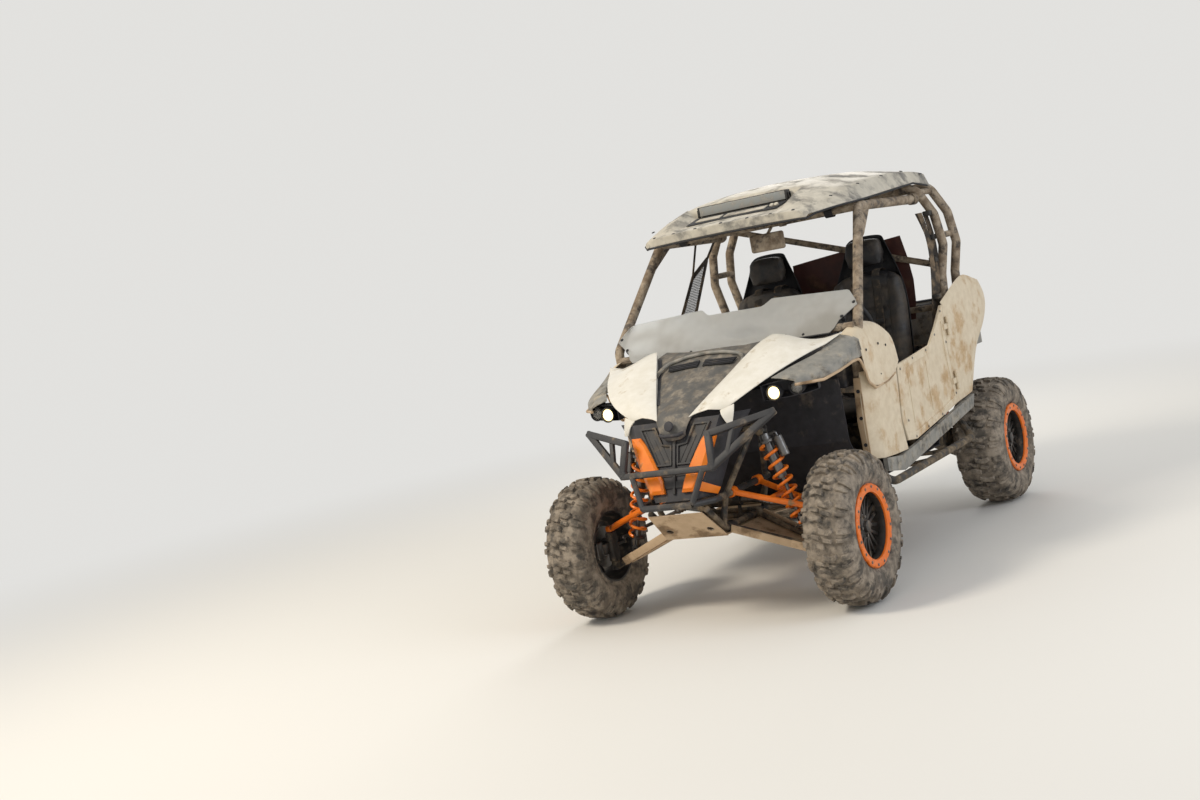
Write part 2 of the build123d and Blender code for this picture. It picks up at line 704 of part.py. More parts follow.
# Fenders: the skin over each front wheel, with the arch lip and the shoulder by the door
# inner edge, outer edge, foot of the outer skirt
fender_rows = [
    [(452, -1118, 1090), (560, -1100, 1058), (560, -1100, 1040)],
    [(520, -1000, 1125), (655, -1000, 1068), (655, -1000, 1020)],
    [(600, -790, 1168), (706, -769, 1135), (706, -769, 1080)],
    [(640, -690, 1204), (714, -660, 1190), (714, -640, 1120)],
    [(640, -600, 1268), (706, -600, 1262), (716, -600, 1150)],
    [(640, -450, 1272), (706, -450, 1266), (716, -450, 1120)],
    [(640, -330, 1236), (708, -330, 1222), (716, -330, 1095)],
    [(650, -268, 1150), (708, -262, 1140), (716, -262, 1060)],
]
with BuildPart() as fender:
    add(skin(fender_rows, (-panel_t, 0, -panel_t)))
    bar(pillar, cage_r + seat_gap, 60, mode=Mode.SUBTRACT)
    mirror(about=Plane.YZ)
save(fender.part, "fenders")

# Side panels behind the front wheels
# inner flange, crease and rear edge, from the foot up
side_rows = [
    [(655, -650, 590), (706, -592, 579.4), (712, -420, 556.9)],
    [(655, -652, 760), (708, -560, 760), (714, -352, 760)],
    [(660, -650, 900), (710, -590, 900), (716, -336, 900)],
    [(672, -640, 1040), (712, -600, 1050), (716, -320, 1040)],
]
with BuildPart() as side_panel:
    add(skin(side_rows, (-panel_t, panel_t, 0)))
    mirror(about=Plane.YZ)
save(side_panel.part, "side_panels")


# Doors: hinged at the back
door_x = 700
door_t = 18
quarter_x = 697.4
quarter_t = 18.6
hinge_x = 728
hinge_y = 492
hinge_r = 9
hinge_part = 34
hinge_feet = (735, 1030)
door_outline = [
    (-268, 985), (214, 1016), (470, 1200), (488, 1200), (458, 940), (500, 668), (220, 632), (-170, 590),
    (-290, 606), (-318, 716),
]
with BuildPart() as door:
    with BuildSketch(alongside(door_x)):
        with BuildLine():
            Polyline(*door_outline, close=True)
        make_face()
    extrude(amount=door_t)
    with BuildSketch(alongside(door_x + door_t)):
        with BuildLine():
            Polyline((-225, 950), (214, 978), (430, 1130), (420, 940), (450, 700), (-150, 634), (-260, 660), close=True)
        make_face()
    extrude(amount=-6, mode=Mode.SUBTRACT)
    for foot in hinge_feet:
        middle = foot + hinge_part + run_gap
        with BuildSketch(Plane.XY.offset(middle)):
            with Locations((hinge_x, hinge_y)):
                Circle(hinge_r)
            with Locations((door_x + door_t + 2, hinge_y - 30)):
                Rectangle(6, 60)
        extrude(amount=hinge_part - 2 * run_gap)
save_pair(door.part, "door")

# Rear quarter panels, each with the outer barrels of the door's hinges
with BuildPart() as quarter:
    with BuildSketch(alongside(quarter_x)):
        with BuildLine():
            Polyline(
                (500, 1215), (889, 1334), (1103, 1280), (1197, 1168), (1026, 995), (912, 941), (739, 684),
                (516, 668), (474, 940), close=True,
            )
        make_face()
    extrude(amount=quarter_t)
    for foot in hinge_feet:
        for low in (foot, foot + 2 * hinge_part):
            with BuildSketch(Plane.XY.offset(low)):
                with Locations((hinge_x, hinge_y)):
                    RegularPolygon(hinge_r, 10)
                with Locations((quarter_x + quarter_t + 2, hinge_y + 28)):
                    Rectangle(6, 56)
            extrude(amount=hinge_part)
    mirror(about=Plane.YZ)
save(quarter.part, "quarter_panels")

# Rocker panels and the side bars below them
side_bar_r = 20
side_bar_x = 728
side_bar_z = 460
with BuildPart() as rockers:
    with BuildSketch(alongside(door_x - 2)):
        with BuildLine():
            Polyline(
                (-600, 580), (-410, 555), (-170, 575), (220, 618), (739, 672), (700, 606), (220, 551),
                (-400, side_bar_z + side_bar_r + seat_gap), (-600, 516), close=True,
            )
        make_face()
    extrude(amount=22)
    mirror(about=Plane.YZ)
save(rockers.part, "rocker_panels")

with BuildPart() as side_bars:
    bar(
        [(650, -640, 545), (side_bar_x, -590, side_bar_z), (side_bar_x, 560, side_bar_z), (650, 640, 545)],
        side_bar_r, 60,
    )
    for y in (-480, 0, 300):
        bar(
            [(side_bar_x, y, side_bar_z - 4), (cabin_rail_x + 165, y, rail_z), (cabin_rail_x + rail_r + seat_gap, y, rail_z)],
            12,
        )
    mirror(about=Plane.YZ)
save(side_bars.part, "side_bars")


# Cabin floor with its toe board and seat riser
floor_z = rail_z + rail_r + seat_gap + 6
with BuildPart() as tub:
    with BuildSketch(alongside(-590)):
        with BuildLine():
            Polyline(
                (-700, 1000), (-700, 700), (-560, floor_z), (430, floor_z), (500, 720), (640, 900), (640, 894),
                (505, 714), (435, floor_z - 6), (-563, floor_z - 6), (-706, 698), (-706, 1000), close=True,
            )
        make_face()
    extrude(amount=1180)
save(tub.part, "floor_tub")

# Dash with the steering column
wheel_hub = Vector(300, 90, 1190)
column_foot = Vector(300, -300, 1030)
column = (wheel_hub - column_foot).normalized()
dash_half = 600
dash_top = cowl_bar[1] - (cage_r - 2) - seat_gap
with BuildPart() as dash:
    with BuildSketch(alongside(-dash_half)):
        with BuildLine():
            Polyline(
                (-640, dash_top), (-560, dash_top), (-330, 1190), (-270, 1120), (-290, 1000), (-420, 940),
                (-640, 940), close=True,
            )
        make_face()
    extrude(amount=2 * dash_half)
    with BuildSketch(Plane(origin=column_foot, z_dir=column)):
        RegularPolygon(30, 12)
    extrude(amount=(wheel_hub - column_foot).length - 50)
save(dash.part, "dash")

# Steering wheel
steering_wheel_r = 170
grip_r = 14
with BuildPart() as steering_wheel:
    hub_plane = Plane(origin=wheel_hub, x_dir=(1, 0, 0), z_dir=column)
    with BuildSketch(hub_plane.offset(-grip_r)):
        RegularPolygon(steering_wheel_r + grip_r, 20)
        RegularPolygon(steering_wheel_r - grip_r, 20, mode=Mode.SUBTRACT)
    extrude(amount=2 * grip_r)
    with BuildSketch(hub_plane.offset(-50 + run_gap)):
        Circle(34)
    extrude(amount=56)
    with BuildSketch(hub_plane.offset(-3)):
        Rectangle(2 * steering_wheel_r, 34)
        with Locations((0, steering_wheel_r / 2)):
            Rectangle(30, steering_wheel_r)
    extrude(amount=6)
save(steering_wheel.part, "steering_wheel")

# Seats
seat_x = 300
seat_w = 460
with BuildPart() as seat_pad:
    with BuildSketch(alongside(seat_x - seat_w / 2)):
        with BuildLine():
            Polyline(
                (-20, 690), (-40, 800), (20, 830), (380, 780), (510, 1420), (530, 1600), (560, 1640), (620, 1630),
                (640, 1580), (630, 1420), (500, 740), (440, 680), close=True,
            )
        make_face()
    extrude(amount=seat_w)
    mirror(about=Plane.YZ)
save(seat_pad.part, "seats")

with BuildPart() as seat_bases:
    with BuildSketch(alongside(seat_x - 180)):
        with BuildLine():
            Polyline((0, floor_z + seat_gap), (420, floor_z + seat_gap), (430, 679), (-10, 689), close=True)
        make_face()
    extrude(amount=360)
    mirror(about=Plane.YZ)
save(seat_bases.part, "seat_bases")


# Windscreen: a half-height sheet, dipped in the middle
pillar_run = (Vector(0, *pillar[3][1:]) - Vector(0, *pillar[2][1:])).normalized()
screen_normal = Vector(0, -pillar_run.Z, pillar_run.Y)
screen_foot = Vector(0, *pillar[2][1:]) + screen_normal * (cage_r + seat_gap) - pillar_run * 106
screen_plane = Plane(origin=screen_foot, x_dir=(1, 0, 0), z_dir=screen_normal)
with BuildPart() as screen:
    with BuildSketch(screen_plane):
        with BuildLine():
            Polyline(
                (-560, 0), (560, 0), (598, 70), (688, 150), (626, 255), (200, 282), (150, 236), (-150, 236),
                (-200, 282), (-626, 255), (-688, 150), (-598, 70), close=True,
            )
        make_face()
    extrude(amount=panel_t)
save(screen.part, "windscreen")


# Roof: a hollow shell with the lamp pocket in its brow
# rows from the lip to the heel, each from the crown outwards: the crown, the pocket's edge, its side, shoulder, eave
roof_rows = [
    [(0, -470, 1792), (300, -470, 1790), (330, -470, 1789), (452, -470, 1786), (458, -462, 1784)],
    [(0, -478, 1834), (300, -478, 1829), (330, -478, 1829), (450, -478, 1823), (470, -440, 1798)],
    [(0, -330, 1842), (300, -330, 1840), (330, -330, 1898), (450, -330, 1862), (538, -315, 1812)],
    [(0, -210, 1893), (300, -210, 1892), (330, -210, 1932), (490, -210, 1884), (572, -210, 1820)],
    [(0, -150, 1893), (300, -150, 1892), (330, -150, 1945), (505, -150, 1892), (580, -150, 1822)],
    [(0, -144, 1972), (300, -144, 1952), (330, -140, 1946), (506, -140, 1893), (581, -140, 1823)],
    [(0, 0, 1995), (300, 0, 1974), (330, 0, 1969), (545, 0, 1908), (600, 0, 1828)],
    [(0, 300, overall_height), (300, 300, 1996), (330, 300, 1991), (562, 300, 1932), (602, 300, 1850)],
    [(0, 650, 2000), (300, 650, 1988), (330, 650, 1984), (584, 650, 1937), (620, 650, 1874)],
    [(0, 850, 1946), (300, 850, 1938), (330, 850, 1936), (612, 850, 1912), (640, 830, 1838)],
    [(0, 862, 1880), (300, 862, 1876), (330, 862, 1875), (604, 862, 1862), (640, 850, 1830)],
]
roof_wall = 5
bar_y = -152
bar_z = 1893
bar_h = 52
bar_depth = 46
# roof feet: x, y and the height of the tube below each
roof_feet = [
    (430, -92, 1790 + cage_r - 2), (330, hoop_y, hoop_top - 7 + cage_r),
]
with BuildPart() as roof:
    add(skin([both_sides(row) for row in roof_rows], (0, roof_wall, -roof_wall), (0, -roof_wall, -roof_wall), 3))
    for x, y, tube_top in roof_feet:
        for side in (-1, 1):
            with BuildSketch(Plane.XY.offset(tube_top + seat_gap)):
                with Locations((side * x, y)):
                    Rectangle(40, 24)
            extrude(until=Until.NEXT)
save(roof.part, "roof")

with BuildPart() as light_bar:
    with BuildSketch(across(bar_y)):
        with Locations((0, bar_z + seat_gap + bar_h / 2)):
            Rectangle(520, bar_h)
    extrude(amount=bar_depth)
save(light_bar.part, "light_bar")

# Mirror inside the brow
with BuildPart() as mirror_inside:
    with BuildSketch(across(-290)):
        with Locations((160, 1700)):
            RectangleRounded(190, 90, 20)
    extrude(amount=30)
    bar([(160, -305, 1730), (160, -200, 1790), (160, -92 - cage_r + 2 - seat_gap, 1790)], 8)
save(mirror_inside.part, "cabin_mirror")


# Headlamps, two on each side, in a pod that hangs under the fender
lamp_r = 30
lamps_at = [(455, -1102, 1018), (549, -1050, 1026)]
with BuildPart() as pods:
    with BuildSketch(Plane.XY.offset(985)):
        Polygon((396, -1126), (512, -1066), (618, -1006), (618, -960), (440, -1030), (396, -1070), align=None)
    extrude(amount=80)
    # a stay up to the fender's underside
    with BuildSketch(Plane.XY.offset(1050)):
        with Locations((570, -1000)):
            Rectangle(50, 40)
    extrude(amount=80)
    add(skin([row[:2] for row in fender_rows], (0, 0, 120)), mode=Mode.SUBTRACT)
    for x, y, z in lamps_at:
        with BuildSketch(across(y + 26)):
            with Locations((x, z)):
                RegularPolygon(lamp_r + 2 * seat_gap, 16)
        extrude(amount=120, mode=Mode.SUBTRACT)
    add(fender.part, mode=Mode.SUBTRACT)
    mirror(about=Plane.YZ)
save(pods.part, "lamp_pods")

with BuildPart() as lamps:
    for x, y, z in lamps_at:
        with BuildSketch(across(y + 26 - seat_gap)):
            with Locations((x, z)):
                RegularPolygon(lamp_r, 16)
        extrude(amount=46)
    mirror(about=Plane.YZ)
save(lamps.part, "headlamps")


# Rear: the cargo bed, the engine, the muffler, the lamps
with BuildPart() as bed:
    with BuildSketch(Plane.XY.offset(bed_low)):
        with Locations((0, (bed_front + bed_back) / 2)):
            Rectangle(1200, bed_back - bed_front)
    extrude(amount=300)
    with BuildSketch(Plane.XY.offset(bed_low + panel_t)):
        with Locations((0, (bed_front + bed_back) / 2)):
            Rectangle(1200 - 2 * panel_t, bed_back - bed_front - 2 * panel_t)
    extrude(amount=300, mode=Mode.SUBTRACT)
    with BuildSketch(Plane.XY.offset(bed_low)):
        with Locations((0, 1145)):
            with GridLocations(900, 300, 2, 2):
                Circle(6)
    extrude(amount=panel_t, mode=Mode.SUBTRACT)
save(bed.part, "cargo_bed")

with BuildPart() as engine:
    with BuildSketch(Plane.XY.offset(rail_z + rail_r + seat_gap)):
        with Locations((0, 930)):
            Rectangle(360, 440)
    extrude(amount=400)
save(engine.part, "engine_block")

with BuildPart() as muffler:
    bar([(-240, 1330, 720), (240, 1330, 720)], 80, sides=16)
    bar([(240, 1330, 720), (280, 1440, 720)], 30)
    for x in (-150, 150):
        with BuildSketch(Plane.XY.offset(rail_z + 58 + rail_r - 3 + seat_gap)):
            with Locations((x, 1310)):
                Rectangle(30, 8)
        extrude(amount=160)
save(muffler.part, "muffler")

with BuildPart() as tail_lamps:
    with BuildSketch(across(bed_back + seat_gap)):
        with Locations((520, 1120)):
            RectangleRounded(90, 60, 10)
    extrude(amount=-30)
    mirror(about=Plane.YZ)
save(tail_lamps.part, "tail_lamps")


# Rear suspension: trailing arms with the rear spindles, and the lateral links
rear_wheel_x = (overall_width - rear_tyre_w) / 2
rear_web_x = rear_wheel_x + rear_tyre_w / 2 - rim_dish
trailing_x = rear_wheel_x - 223
trailing_t = 50
with BuildPart() as trailing:
    with BuildSketch(alongside(trailing_x)):
        with BuildLine():
            Polyline(
                (524, 474), (528, 530), (590, 548), (960, 458), (1090, 420), (1130, 356), (1090, 296),
                (1010, 296), (580, 440), close=True,
            )
        make_face()
    extrude(amount=trailing_t)
    with BuildSketch(alongside(trailing_x + trailing_t)):
        with Locations((rear_axle_y, tyre_r)):
            Circle(spindle_r)
    extrude(amount=rear_web_x - trailing_x - trailing_t)
    mirror(about=Plane.YZ)
save(trailing.part, "trailing_arms")

with BuildPart() as links:
    for z in (318, 398):
        bar(
            [(trailing_x - seat_gap, 1090, z), (trailing_x - 26, 1090, z), (270, 1150, z + 192),
             (engine_rail_x + rail_r - 2 + seat_gap, 1150, z + 192)],
            11,
        )
    mirror(about=Plane.YZ)
save(links.part, "radius_rods")

with BuildPart() as half_shafts:
    bar([(180 + seat_gap, 1040, 535), (215, 1040, 535), (trailing_x - 30, 1040, 376), (trailing_x - seat_gap, 1040, 376)], 13)
    mirror(about=Plane.YZ)
save(half_shafts.part, "half_shafts")
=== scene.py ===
# %% [markdown]
# A two-seat off-road buggy, dressed for a photograph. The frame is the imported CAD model: every part already
# stands in its place, in metres, with its nose towards -Y. This lesson builds the finer shapes round that
# frame and gives each surface the material that the real one has. Most of them wear the same coat of dry
# mud.

import json
import math

import bmesh
import bpy
from mathutils import Matrix, Vector

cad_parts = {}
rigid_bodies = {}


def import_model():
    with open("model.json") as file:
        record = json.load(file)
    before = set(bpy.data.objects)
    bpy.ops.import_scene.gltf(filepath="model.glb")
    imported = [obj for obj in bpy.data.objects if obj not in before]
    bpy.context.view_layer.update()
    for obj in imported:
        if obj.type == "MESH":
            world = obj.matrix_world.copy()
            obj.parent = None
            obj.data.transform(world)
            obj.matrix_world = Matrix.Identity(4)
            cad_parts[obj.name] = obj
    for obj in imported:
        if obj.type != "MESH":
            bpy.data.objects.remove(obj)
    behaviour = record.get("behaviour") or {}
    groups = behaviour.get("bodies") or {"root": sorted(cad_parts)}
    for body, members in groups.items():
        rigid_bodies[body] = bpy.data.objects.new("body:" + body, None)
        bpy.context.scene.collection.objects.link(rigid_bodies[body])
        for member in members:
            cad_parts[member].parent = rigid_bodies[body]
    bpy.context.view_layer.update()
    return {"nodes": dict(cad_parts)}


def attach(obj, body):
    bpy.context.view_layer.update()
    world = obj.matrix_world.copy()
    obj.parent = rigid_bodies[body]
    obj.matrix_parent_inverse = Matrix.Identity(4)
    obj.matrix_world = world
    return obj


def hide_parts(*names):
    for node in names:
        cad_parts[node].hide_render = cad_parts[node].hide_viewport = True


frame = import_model()
print("frame nodes:", len(frame["nodes"]))

# %% [markdown]
# The camera stands low and far in front of the left front wheel, and leans over, so the buggy looks as if
# it flies. A camera matrix with its three axes as columns puts it there in one step.

# %% Camera
camera_at = Vector((3.605, -7.354, 1.672))
camera_right = Vector((0.82875, 0.52662, -0.18934))
camera_ahead = Vector((-0.54720, 0.83346, -0.07694))
camera_up = camera_right.cross(camera_ahead)
camera_data = bpy.data.cameras.new("camera")
camera_data.sensor_width = 36
camera_data.lens = 45.78
camera = bpy.data.objects.new("camera", camera_data)
turn = Matrix((camera_right, camera_up, -camera_ahead)).transposed()
camera.matrix_world = Matrix.Translation(camera_at) @ turn.to_4x4()
bpy.context.scene.collection.objects.link(camera)
bpy.context.scene.camera = camera
print("camera", [round(x, 3) for x in camera.location])

# %% [markdown]
# Colours are written as the hex values that a picture editor shows. The shader wants linear light, so one
# function turns them. Another adds a node, sets what it is given and makes its links. Both serve every
# material below.

# %% Colour and node helpers


def linear(hex_colour):
    """An sRGB hex colour as linear light, with alpha 1."""
    parts = [int(hex_colour[i:i + 2], 16) / 255 for i in (1, 3, 5)]
    return tuple(c / 12.92 if c <= 0.04045 else ((c + 0.055) / 1.055) ** 2.4 for c in parts) + (1.0,)


def node(tree, kind, settings=None, **inputs):
    """Add a node. An input is a value, or another node's output to link."""
    made = tree.nodes.new("ShaderNode" + kind)
    for name, value in (settings or {}).items():
        setattr(made, name, value)
    for name, value in inputs.items():
        key = int(name[1:]) if name[0] == "_" else name.replace("_", " ")
        if isinstance(value, bpy.types.NodeSocket):
            tree.links.new(value, made.inputs[key])
        else:
            made.inputs[key].default_value = value
    return made


def new_material(name):
    """A material with its tree, its shader and the object coordinates."""
    made = bpy.data.materials.new(name)
    made.use_nodes = True
    tree = made.node_tree
    return made, tree, tree.nodes["Principled BSDF"], node(tree, "TexCoord").outputs["Object"]

def ramp(tree, factor, *stops):
    """A colour ramp through (position, grey) stops."""
    made = node(tree, "ValToRGB", None, Fac=factor)
    for i, (position, grey) in enumerate(stops):
        stop = made.color_ramp.elements[i] if i < 2 else made.color_ramp.elements.new(position)
        stop.position = position
        stop.color = (grey, grey, grey, 1)
    return made.outputs["Color"]


# %% [markdown]
# Floor and backdrop are one pale sweep of paper. World light is even and a little under white, and a broad
# lamp from the front left works as the sun does in a light haze. A Light Path node gives the paper's own
# brightness to camera, mirror and glass rays, and leaves the shadow on it.

# %% Studio
world = bpy.data.worlds.new("studio")
bpy.context.scene.world = world
world.use_nodes = True
tree = world.node_tree
path = node(tree, "LightPath")
seen = node(tree, "Math", {"operation": "MAXIMUM"}, _0=path.outputs["Is Camera Ray"],
    _1=path.outputs["Is Glossy Ray"])
seen = node(tree, "Math", {"operation": "MAXIMUM"}, _0=seen.outputs[0],
    _1=path.outputs["Is Transmission Ray"])
level = node(tree, "MapRange", None, Value=seen.outputs[0], To_Min=0.62, To_Max=0.86)
tree.nodes["Background"].inputs["Color"].default_value = linear("#f2f1ee")
tree.links.new(level.outputs[0], tree.nodes["Background"].inputs["Strength"])


def lamp(name, place, aim, size, power, colour):
    """A soft square lamp that faces a point."""
    data = bpy.data.lights.new(name, "AREA")
    data.size = size
    data.energy = power
    data.color = linear(colour)[:3]
    made = bpy.data.objects.new(name, data)
    made.matrix_world = (Matrix.Translation(place) @ (Vector(aim) - Vector(place)).to_track_quat("-Z",
        "Y").to_matrix().to_4x4())
    bpy.context.scene.collection.objects.link(made)


lamp("sun_haze", (-3.5, -5.5, 6.5), (0, 0, 1.0), 2.2, 400, "#fff4e2")
lamp("sky_fill", (6.5, -1.5, 4.0), (0, 0, 0.9), 4.0, 150, "#e9f1ff")
lamp("rim_light", (-2.0, 6.0, 4.5), (0, 0, 1.2), 3.0, 120, "#ffffff")

bm = bmesh.new()
bmesh.ops.create_grid(bm, x_segments=1, y_segments=1, size=300)
floor_mesh = bpy.data.meshes.new("floor_paper")
bm.to_mesh(floor_mesh)
bm.free()
floor = bpy.data.objects.new("floor_paper", floor_mesh)
bpy.context.scene.collection.objects.link(floor)
paper, tree, shade, where = new_material("studio_paper")
fibre = node(tree, "TexNoise", None, Vector=where, Scale=60.0)
rough = node(tree, "MapRange", None, Value=fibre.outputs["Fac"], To_Min=0.86, To_Max=0.96)
shade.inputs["Base Color"].default_value = linear("#e6e4df")
tree.links.new(rough.outputs[0], shade.inputs["Roughness"])
# far from the car the paper takes the backdrop's own brightness, so no horizon shows
radius = node(tree, "VectorMath", {"operation": "LENGTH"}, _0=where)
far = node(tree, "MapRange", {"interpolation_type": "SMOOTHSTEP"}, Value=radius.outputs["Value"],
    From_Min=3.2, From_Max=9.0)
glow = node(tree, "Emission", None, Color=linear("#f2f1ee"), Strength=0.86)
blend = node(tree, "MixShader", None, Fac=far.outputs[0], _1=shade.outputs[0], _2=glow.outputs[0])
tree.links.new(blend.outputs[0], tree.nodes["Material Output"].inputs["Surface"])
floor_mesh.materials.append(paper)
bpy.context.scene.view_settings.view_transform = "Standard"
print("studio: 3 lamps, one floor")

# %% [markdown]
# Dried mud covers this machine, so one recipe lays it over any paint or plastic. Noise of a hand's width
# decides where it sits, and the mud reaches higher in patches than in the gaps. A finer noise gives each
# surface its own grain. Where mud lies, the colour turns to earth, the gloss goes, and a bump raises the
# crust by a millimetre or so.

# %% The mud recipe
paints = {}


def muddy(name, colour, second, roughness, share, mud="#a38c6e", damp="#6f5d49", patch_mm=200, grain_mm=2.0,
        grain=0.12, metallic=0.0, crust_mm=1.5, coat=0.0, low=0.10):
    """A finish with dry mud over it. share is how much mud covers, low how much more lies near the ground."""
    made, tree, shade, where = new_material(name)
    patches = node(tree, "TexNoise", None, Vector=where, Scale=1000 / patch_mm, Detail=9.0, Roughness=0.62)
    stretched = node(tree, "Mapping", None, Vector=where, Scale=(9.0, 9.0, 2.2))
    runs = node(tree, "TexNoise", None, Vector=stretched.outputs[0], Scale=1.6, Detail=6.0, Roughness=0.7)
    height = node(tree, "SeparateXYZ", None, Vector=where)
    lower = node(tree, "MapRange", None, Value=height.outputs["Z"], From_Min=0.3, From_Max=1.6, To_Min=low,
        To_Max=-low)
    both = node(tree, "Math", {"operation": "MULTIPLY_ADD"}, _0=runs.outputs["Fac"], _1=0.22,
        _2=lower.outputs[0])
    total = node(tree, "Math", {"operation": "MULTIPLY_ADD"}, _0=patches.outputs["Fac"], _1=0.98,
        _2=both.outputs[0])
    edge = 0.60 + (0.5 - share) * 0.42
    mask = node(tree, "MapRange", {"interpolation_type": "SMOOTHSTEP"}, Value=total.outputs[0],
        From_Min=edge - 0.07, From_Max=edge + 0.08).outputs[0]
    fine = node(tree, "TexNoise", None, Vector=where, Scale=1000 / grain_mm, Detail=3.0)
    tone = node(tree, "TexNoise", None, Vector=where, Scale=18.0, Detail=7.0, Roughness=0.65)
    paint = node(tree, "Mix", {"data_type": "RGBA"}, _0=ramp(tree, tone.outputs["Fac"], (0.36, 0),
        (0.64, 1)), _6=linear(colour), _7=linear(second))
    earth = node(tree, "Mix", {"data_type": "RGBA"}, _0=ramp(tree, tone.outputs["Fac"], (0.40, 1),
        (0.62, 0)), _6=linear(mud), _7=linear(damp))
    cover = node(tree, "Mix", {"data_type": "RGBA"}, _0=mask, _6=paint.outputs[2], _7=earth.outputs[2])
    tree.links.new(cover.outputs[2], shade.inputs["Base Color"])
    gloss = node(tree, "MapRange", None, Value=mask, To_Min=roughness, To_Max=0.92)
    tree.links.new(gloss.outputs[0], shade.inputs["Roughness"])
    if metallic:
        bare = node(tree, "MapRange", None, Value=mask, To_Min=metallic, To_Max=0.0)
        tree.links.new(bare.outputs[0], shade.inputs["Metallic"])
    shade.inputs["Coat Weight"].default_value = coat
    clods = node(tree, "TexNoise", None, Vector=where, Scale=1000 / 9, Detail=5.0)
    crust = node(tree, "Math", {"operation": "MULTIPLY"}, _0=mask, _1=clods.outputs["Fac"])
    raised = node(tree, "Bump", None, Height=crust.outputs[0], Distance=crust_mm / 1000, Strength=0.8)
    pitted = node(tree, "Bump", None, Height=fine.outputs["Fac"], Distance=0.0006, Strength=grain,
        Normal=raised.outputs[0])
    tree.links.new(pitted.outputs[0], shade.inputs["Normal"])
    paints[name] = made


# %% [markdown]
# Each finish below starts from the real one: polypropylene body panels moulded in white, polyethylene skid
# plates in tan, steel tube in black powder coat, cast and turned alloy. The second colour is the worn or
# dusty shade of the first. Typical roughness is 0.25 for a gloss panel, 0.5 for powder coat and 0.8 for a
# grained black moulding.

# %% Body and frame finishes
# natural rubber compound, moulded: matt black under packed earth in the tread
muddy("tyre_rubber", "#3f3c38", "#635c53", 0.85, 0.62, "#9c9081", "#696055", 60, 3, 0.35, crust_mm=2.5,
    low=0.0)
# cast aluminium under satin black enamel
muddy("rim_enamel", "#1d1c1b", "#3b3835", 0.42, 0.30, "#87796a", "#4c443b", 50, 1.5, 0.1, low=0.0)
# forged aluminium under orange powder coat
muddy("ring_orange", "#f07818", "#e0690f", 0.38, 0.14, "#a3876a", "#7a5a3a", 40, 1, 0.08, low=0.0)
muddy("spring_orange", "#f7841c", "#ee7410", 0.34, 0.10, "#a3876a", "#7a5a3a", 40, 1, 0.08, low=0.0)
muddy("arm_orange", "#ef7a1a", "#e06c10", 0.40, 0.18, "#9c7f60", "#6d5034", 60, 1, 0.08, low=0.0)
# gloss ABS, moulded in orange
muddy("accent_orange", "#f98a22", "#f37c14", 0.30, 0.10, "#b08a60", "#85603c", 50, 1.5, 0.05, low=0.0)
# polypropylene, moulded in gloss white
muddy("body_white", "#e9e5db", "#dfdacd", 0.34, 0.14, "#d3c9b5", "#b8aa92", 90, 2, 0.05, crust_mm=0.6,
    coat=0.25, low=0.0)
# the same plastic behind the wheels, where thrown mud has dried on it
muddy("door_white", "#dccdb3", "#cfbea2", 0.48, 0.34, "#cdb492", "#b89b76", 160, 2, 0.08, crust_mm=0.8,
    low=0.05)
muddy("body_grey", "#7b7a75", "#969289", 0.60, 0.40, "#aaa191", "#57534d", 90, 2, 0.15, low=0.02)
# thermoformed sheet, once white, now grey with mud
muddy("roof_grey", "#cbc4b4", "#b9b2a3", 0.55, 0.42, "#98938a", "#74726d", 150, 2.5, 0.12, crust_mm=1.0,
    low=0.0)
# glass-filled nylon, moulded with a coarse grain
muddy("dark_plastic", "#26262a", "#36353a", 0.62, 0.22, "#81766a", "#4f4840", 120, 2.2, 0.4, low=0.02)
muddy("hood_plastic", "#4f4e4c", "#63605b", 0.62, 0.50, "#8e867a", "#666058", 60, 2.2, 0.3, low=-0.02)
# steel tube under black powder coat, caked with clay
muddy("cage_enamel", "#3b342e", "#5a5046", 0.62, 0.66, "#a99a86", "#7a6a58", 46, 2, 0.3, crust_mm=3.0,
    low=0.0)
muddy("frame_enamel", "#1f1d1c", "#2f2c29", 0.50, 0.38, "#85755f", "#53483a", 90, 1.5, 0.2)
muddy("bumper_enamel", "#2e2e30", "#3b3a3a", 0.58, 0.26, "#857868", "#544b40", 90, 1.6, 0.45, low=0.0)
# ultra-high-weight polyethylene, cut from tan sheet
muddy("guard_tan", "#b79c7c", "#c4aa8a", 0.50, 0.36, "#a18668", "#7c664d", 130, 2, 0.15, low=0.0)
# machined and anodised aluminium
muddy("damper", "#5c5b5b", "#716f6d", 0.32, 0.22, "#85755f", "#53483a", 40, 1, 0.1, metallic=0.9, low=0.0)
muddy("steel", "#8f8c88", "#76726d", 0.38, 0.25, "#8d7c66", "#5d4f3e", 50, 1, 0.1, metallic=0.95, low=0.0)
# grey iron, sand cast
muddy("cast_iron", "#3f3c39", "#54504b", 0.68, 0.35, "#85755f", "#53483a", 60, 1.5, 0.6, metallic=0.6,
    low=0.0)
muddy("engine_alloy", "#6d6b68", "#7f7c78", 0.55, 0.30, "#85755f", "#53483a", 100, 1.8, 0.5, metallic=0.7)
# stainless steel, blued and browned by heat
muddy("exhaust_steel", "#7a6a5c", "#5f5a63", 0.40, 0.22, "#85755f", "#53483a", 90, 1, 0.1, metallic=0.9)
# corrugated polypropylene sheet, dark red-brown with dust
muddy("oxblood", "#3a1712", "#4a2018", 0.60, 0.30, "#5f4436", "#38251d", 110, 2, 0.2, low=0.0)
# painted shade: a near-black sheet stands for the dark inside of an opening, where hardly any light reaches
muddy("vent_painted_shade", "#0c0c0d", "#151516", 0.80, 0.05, "#4f473d", "#332d27", 60, 2, 0.2, low=0.0)
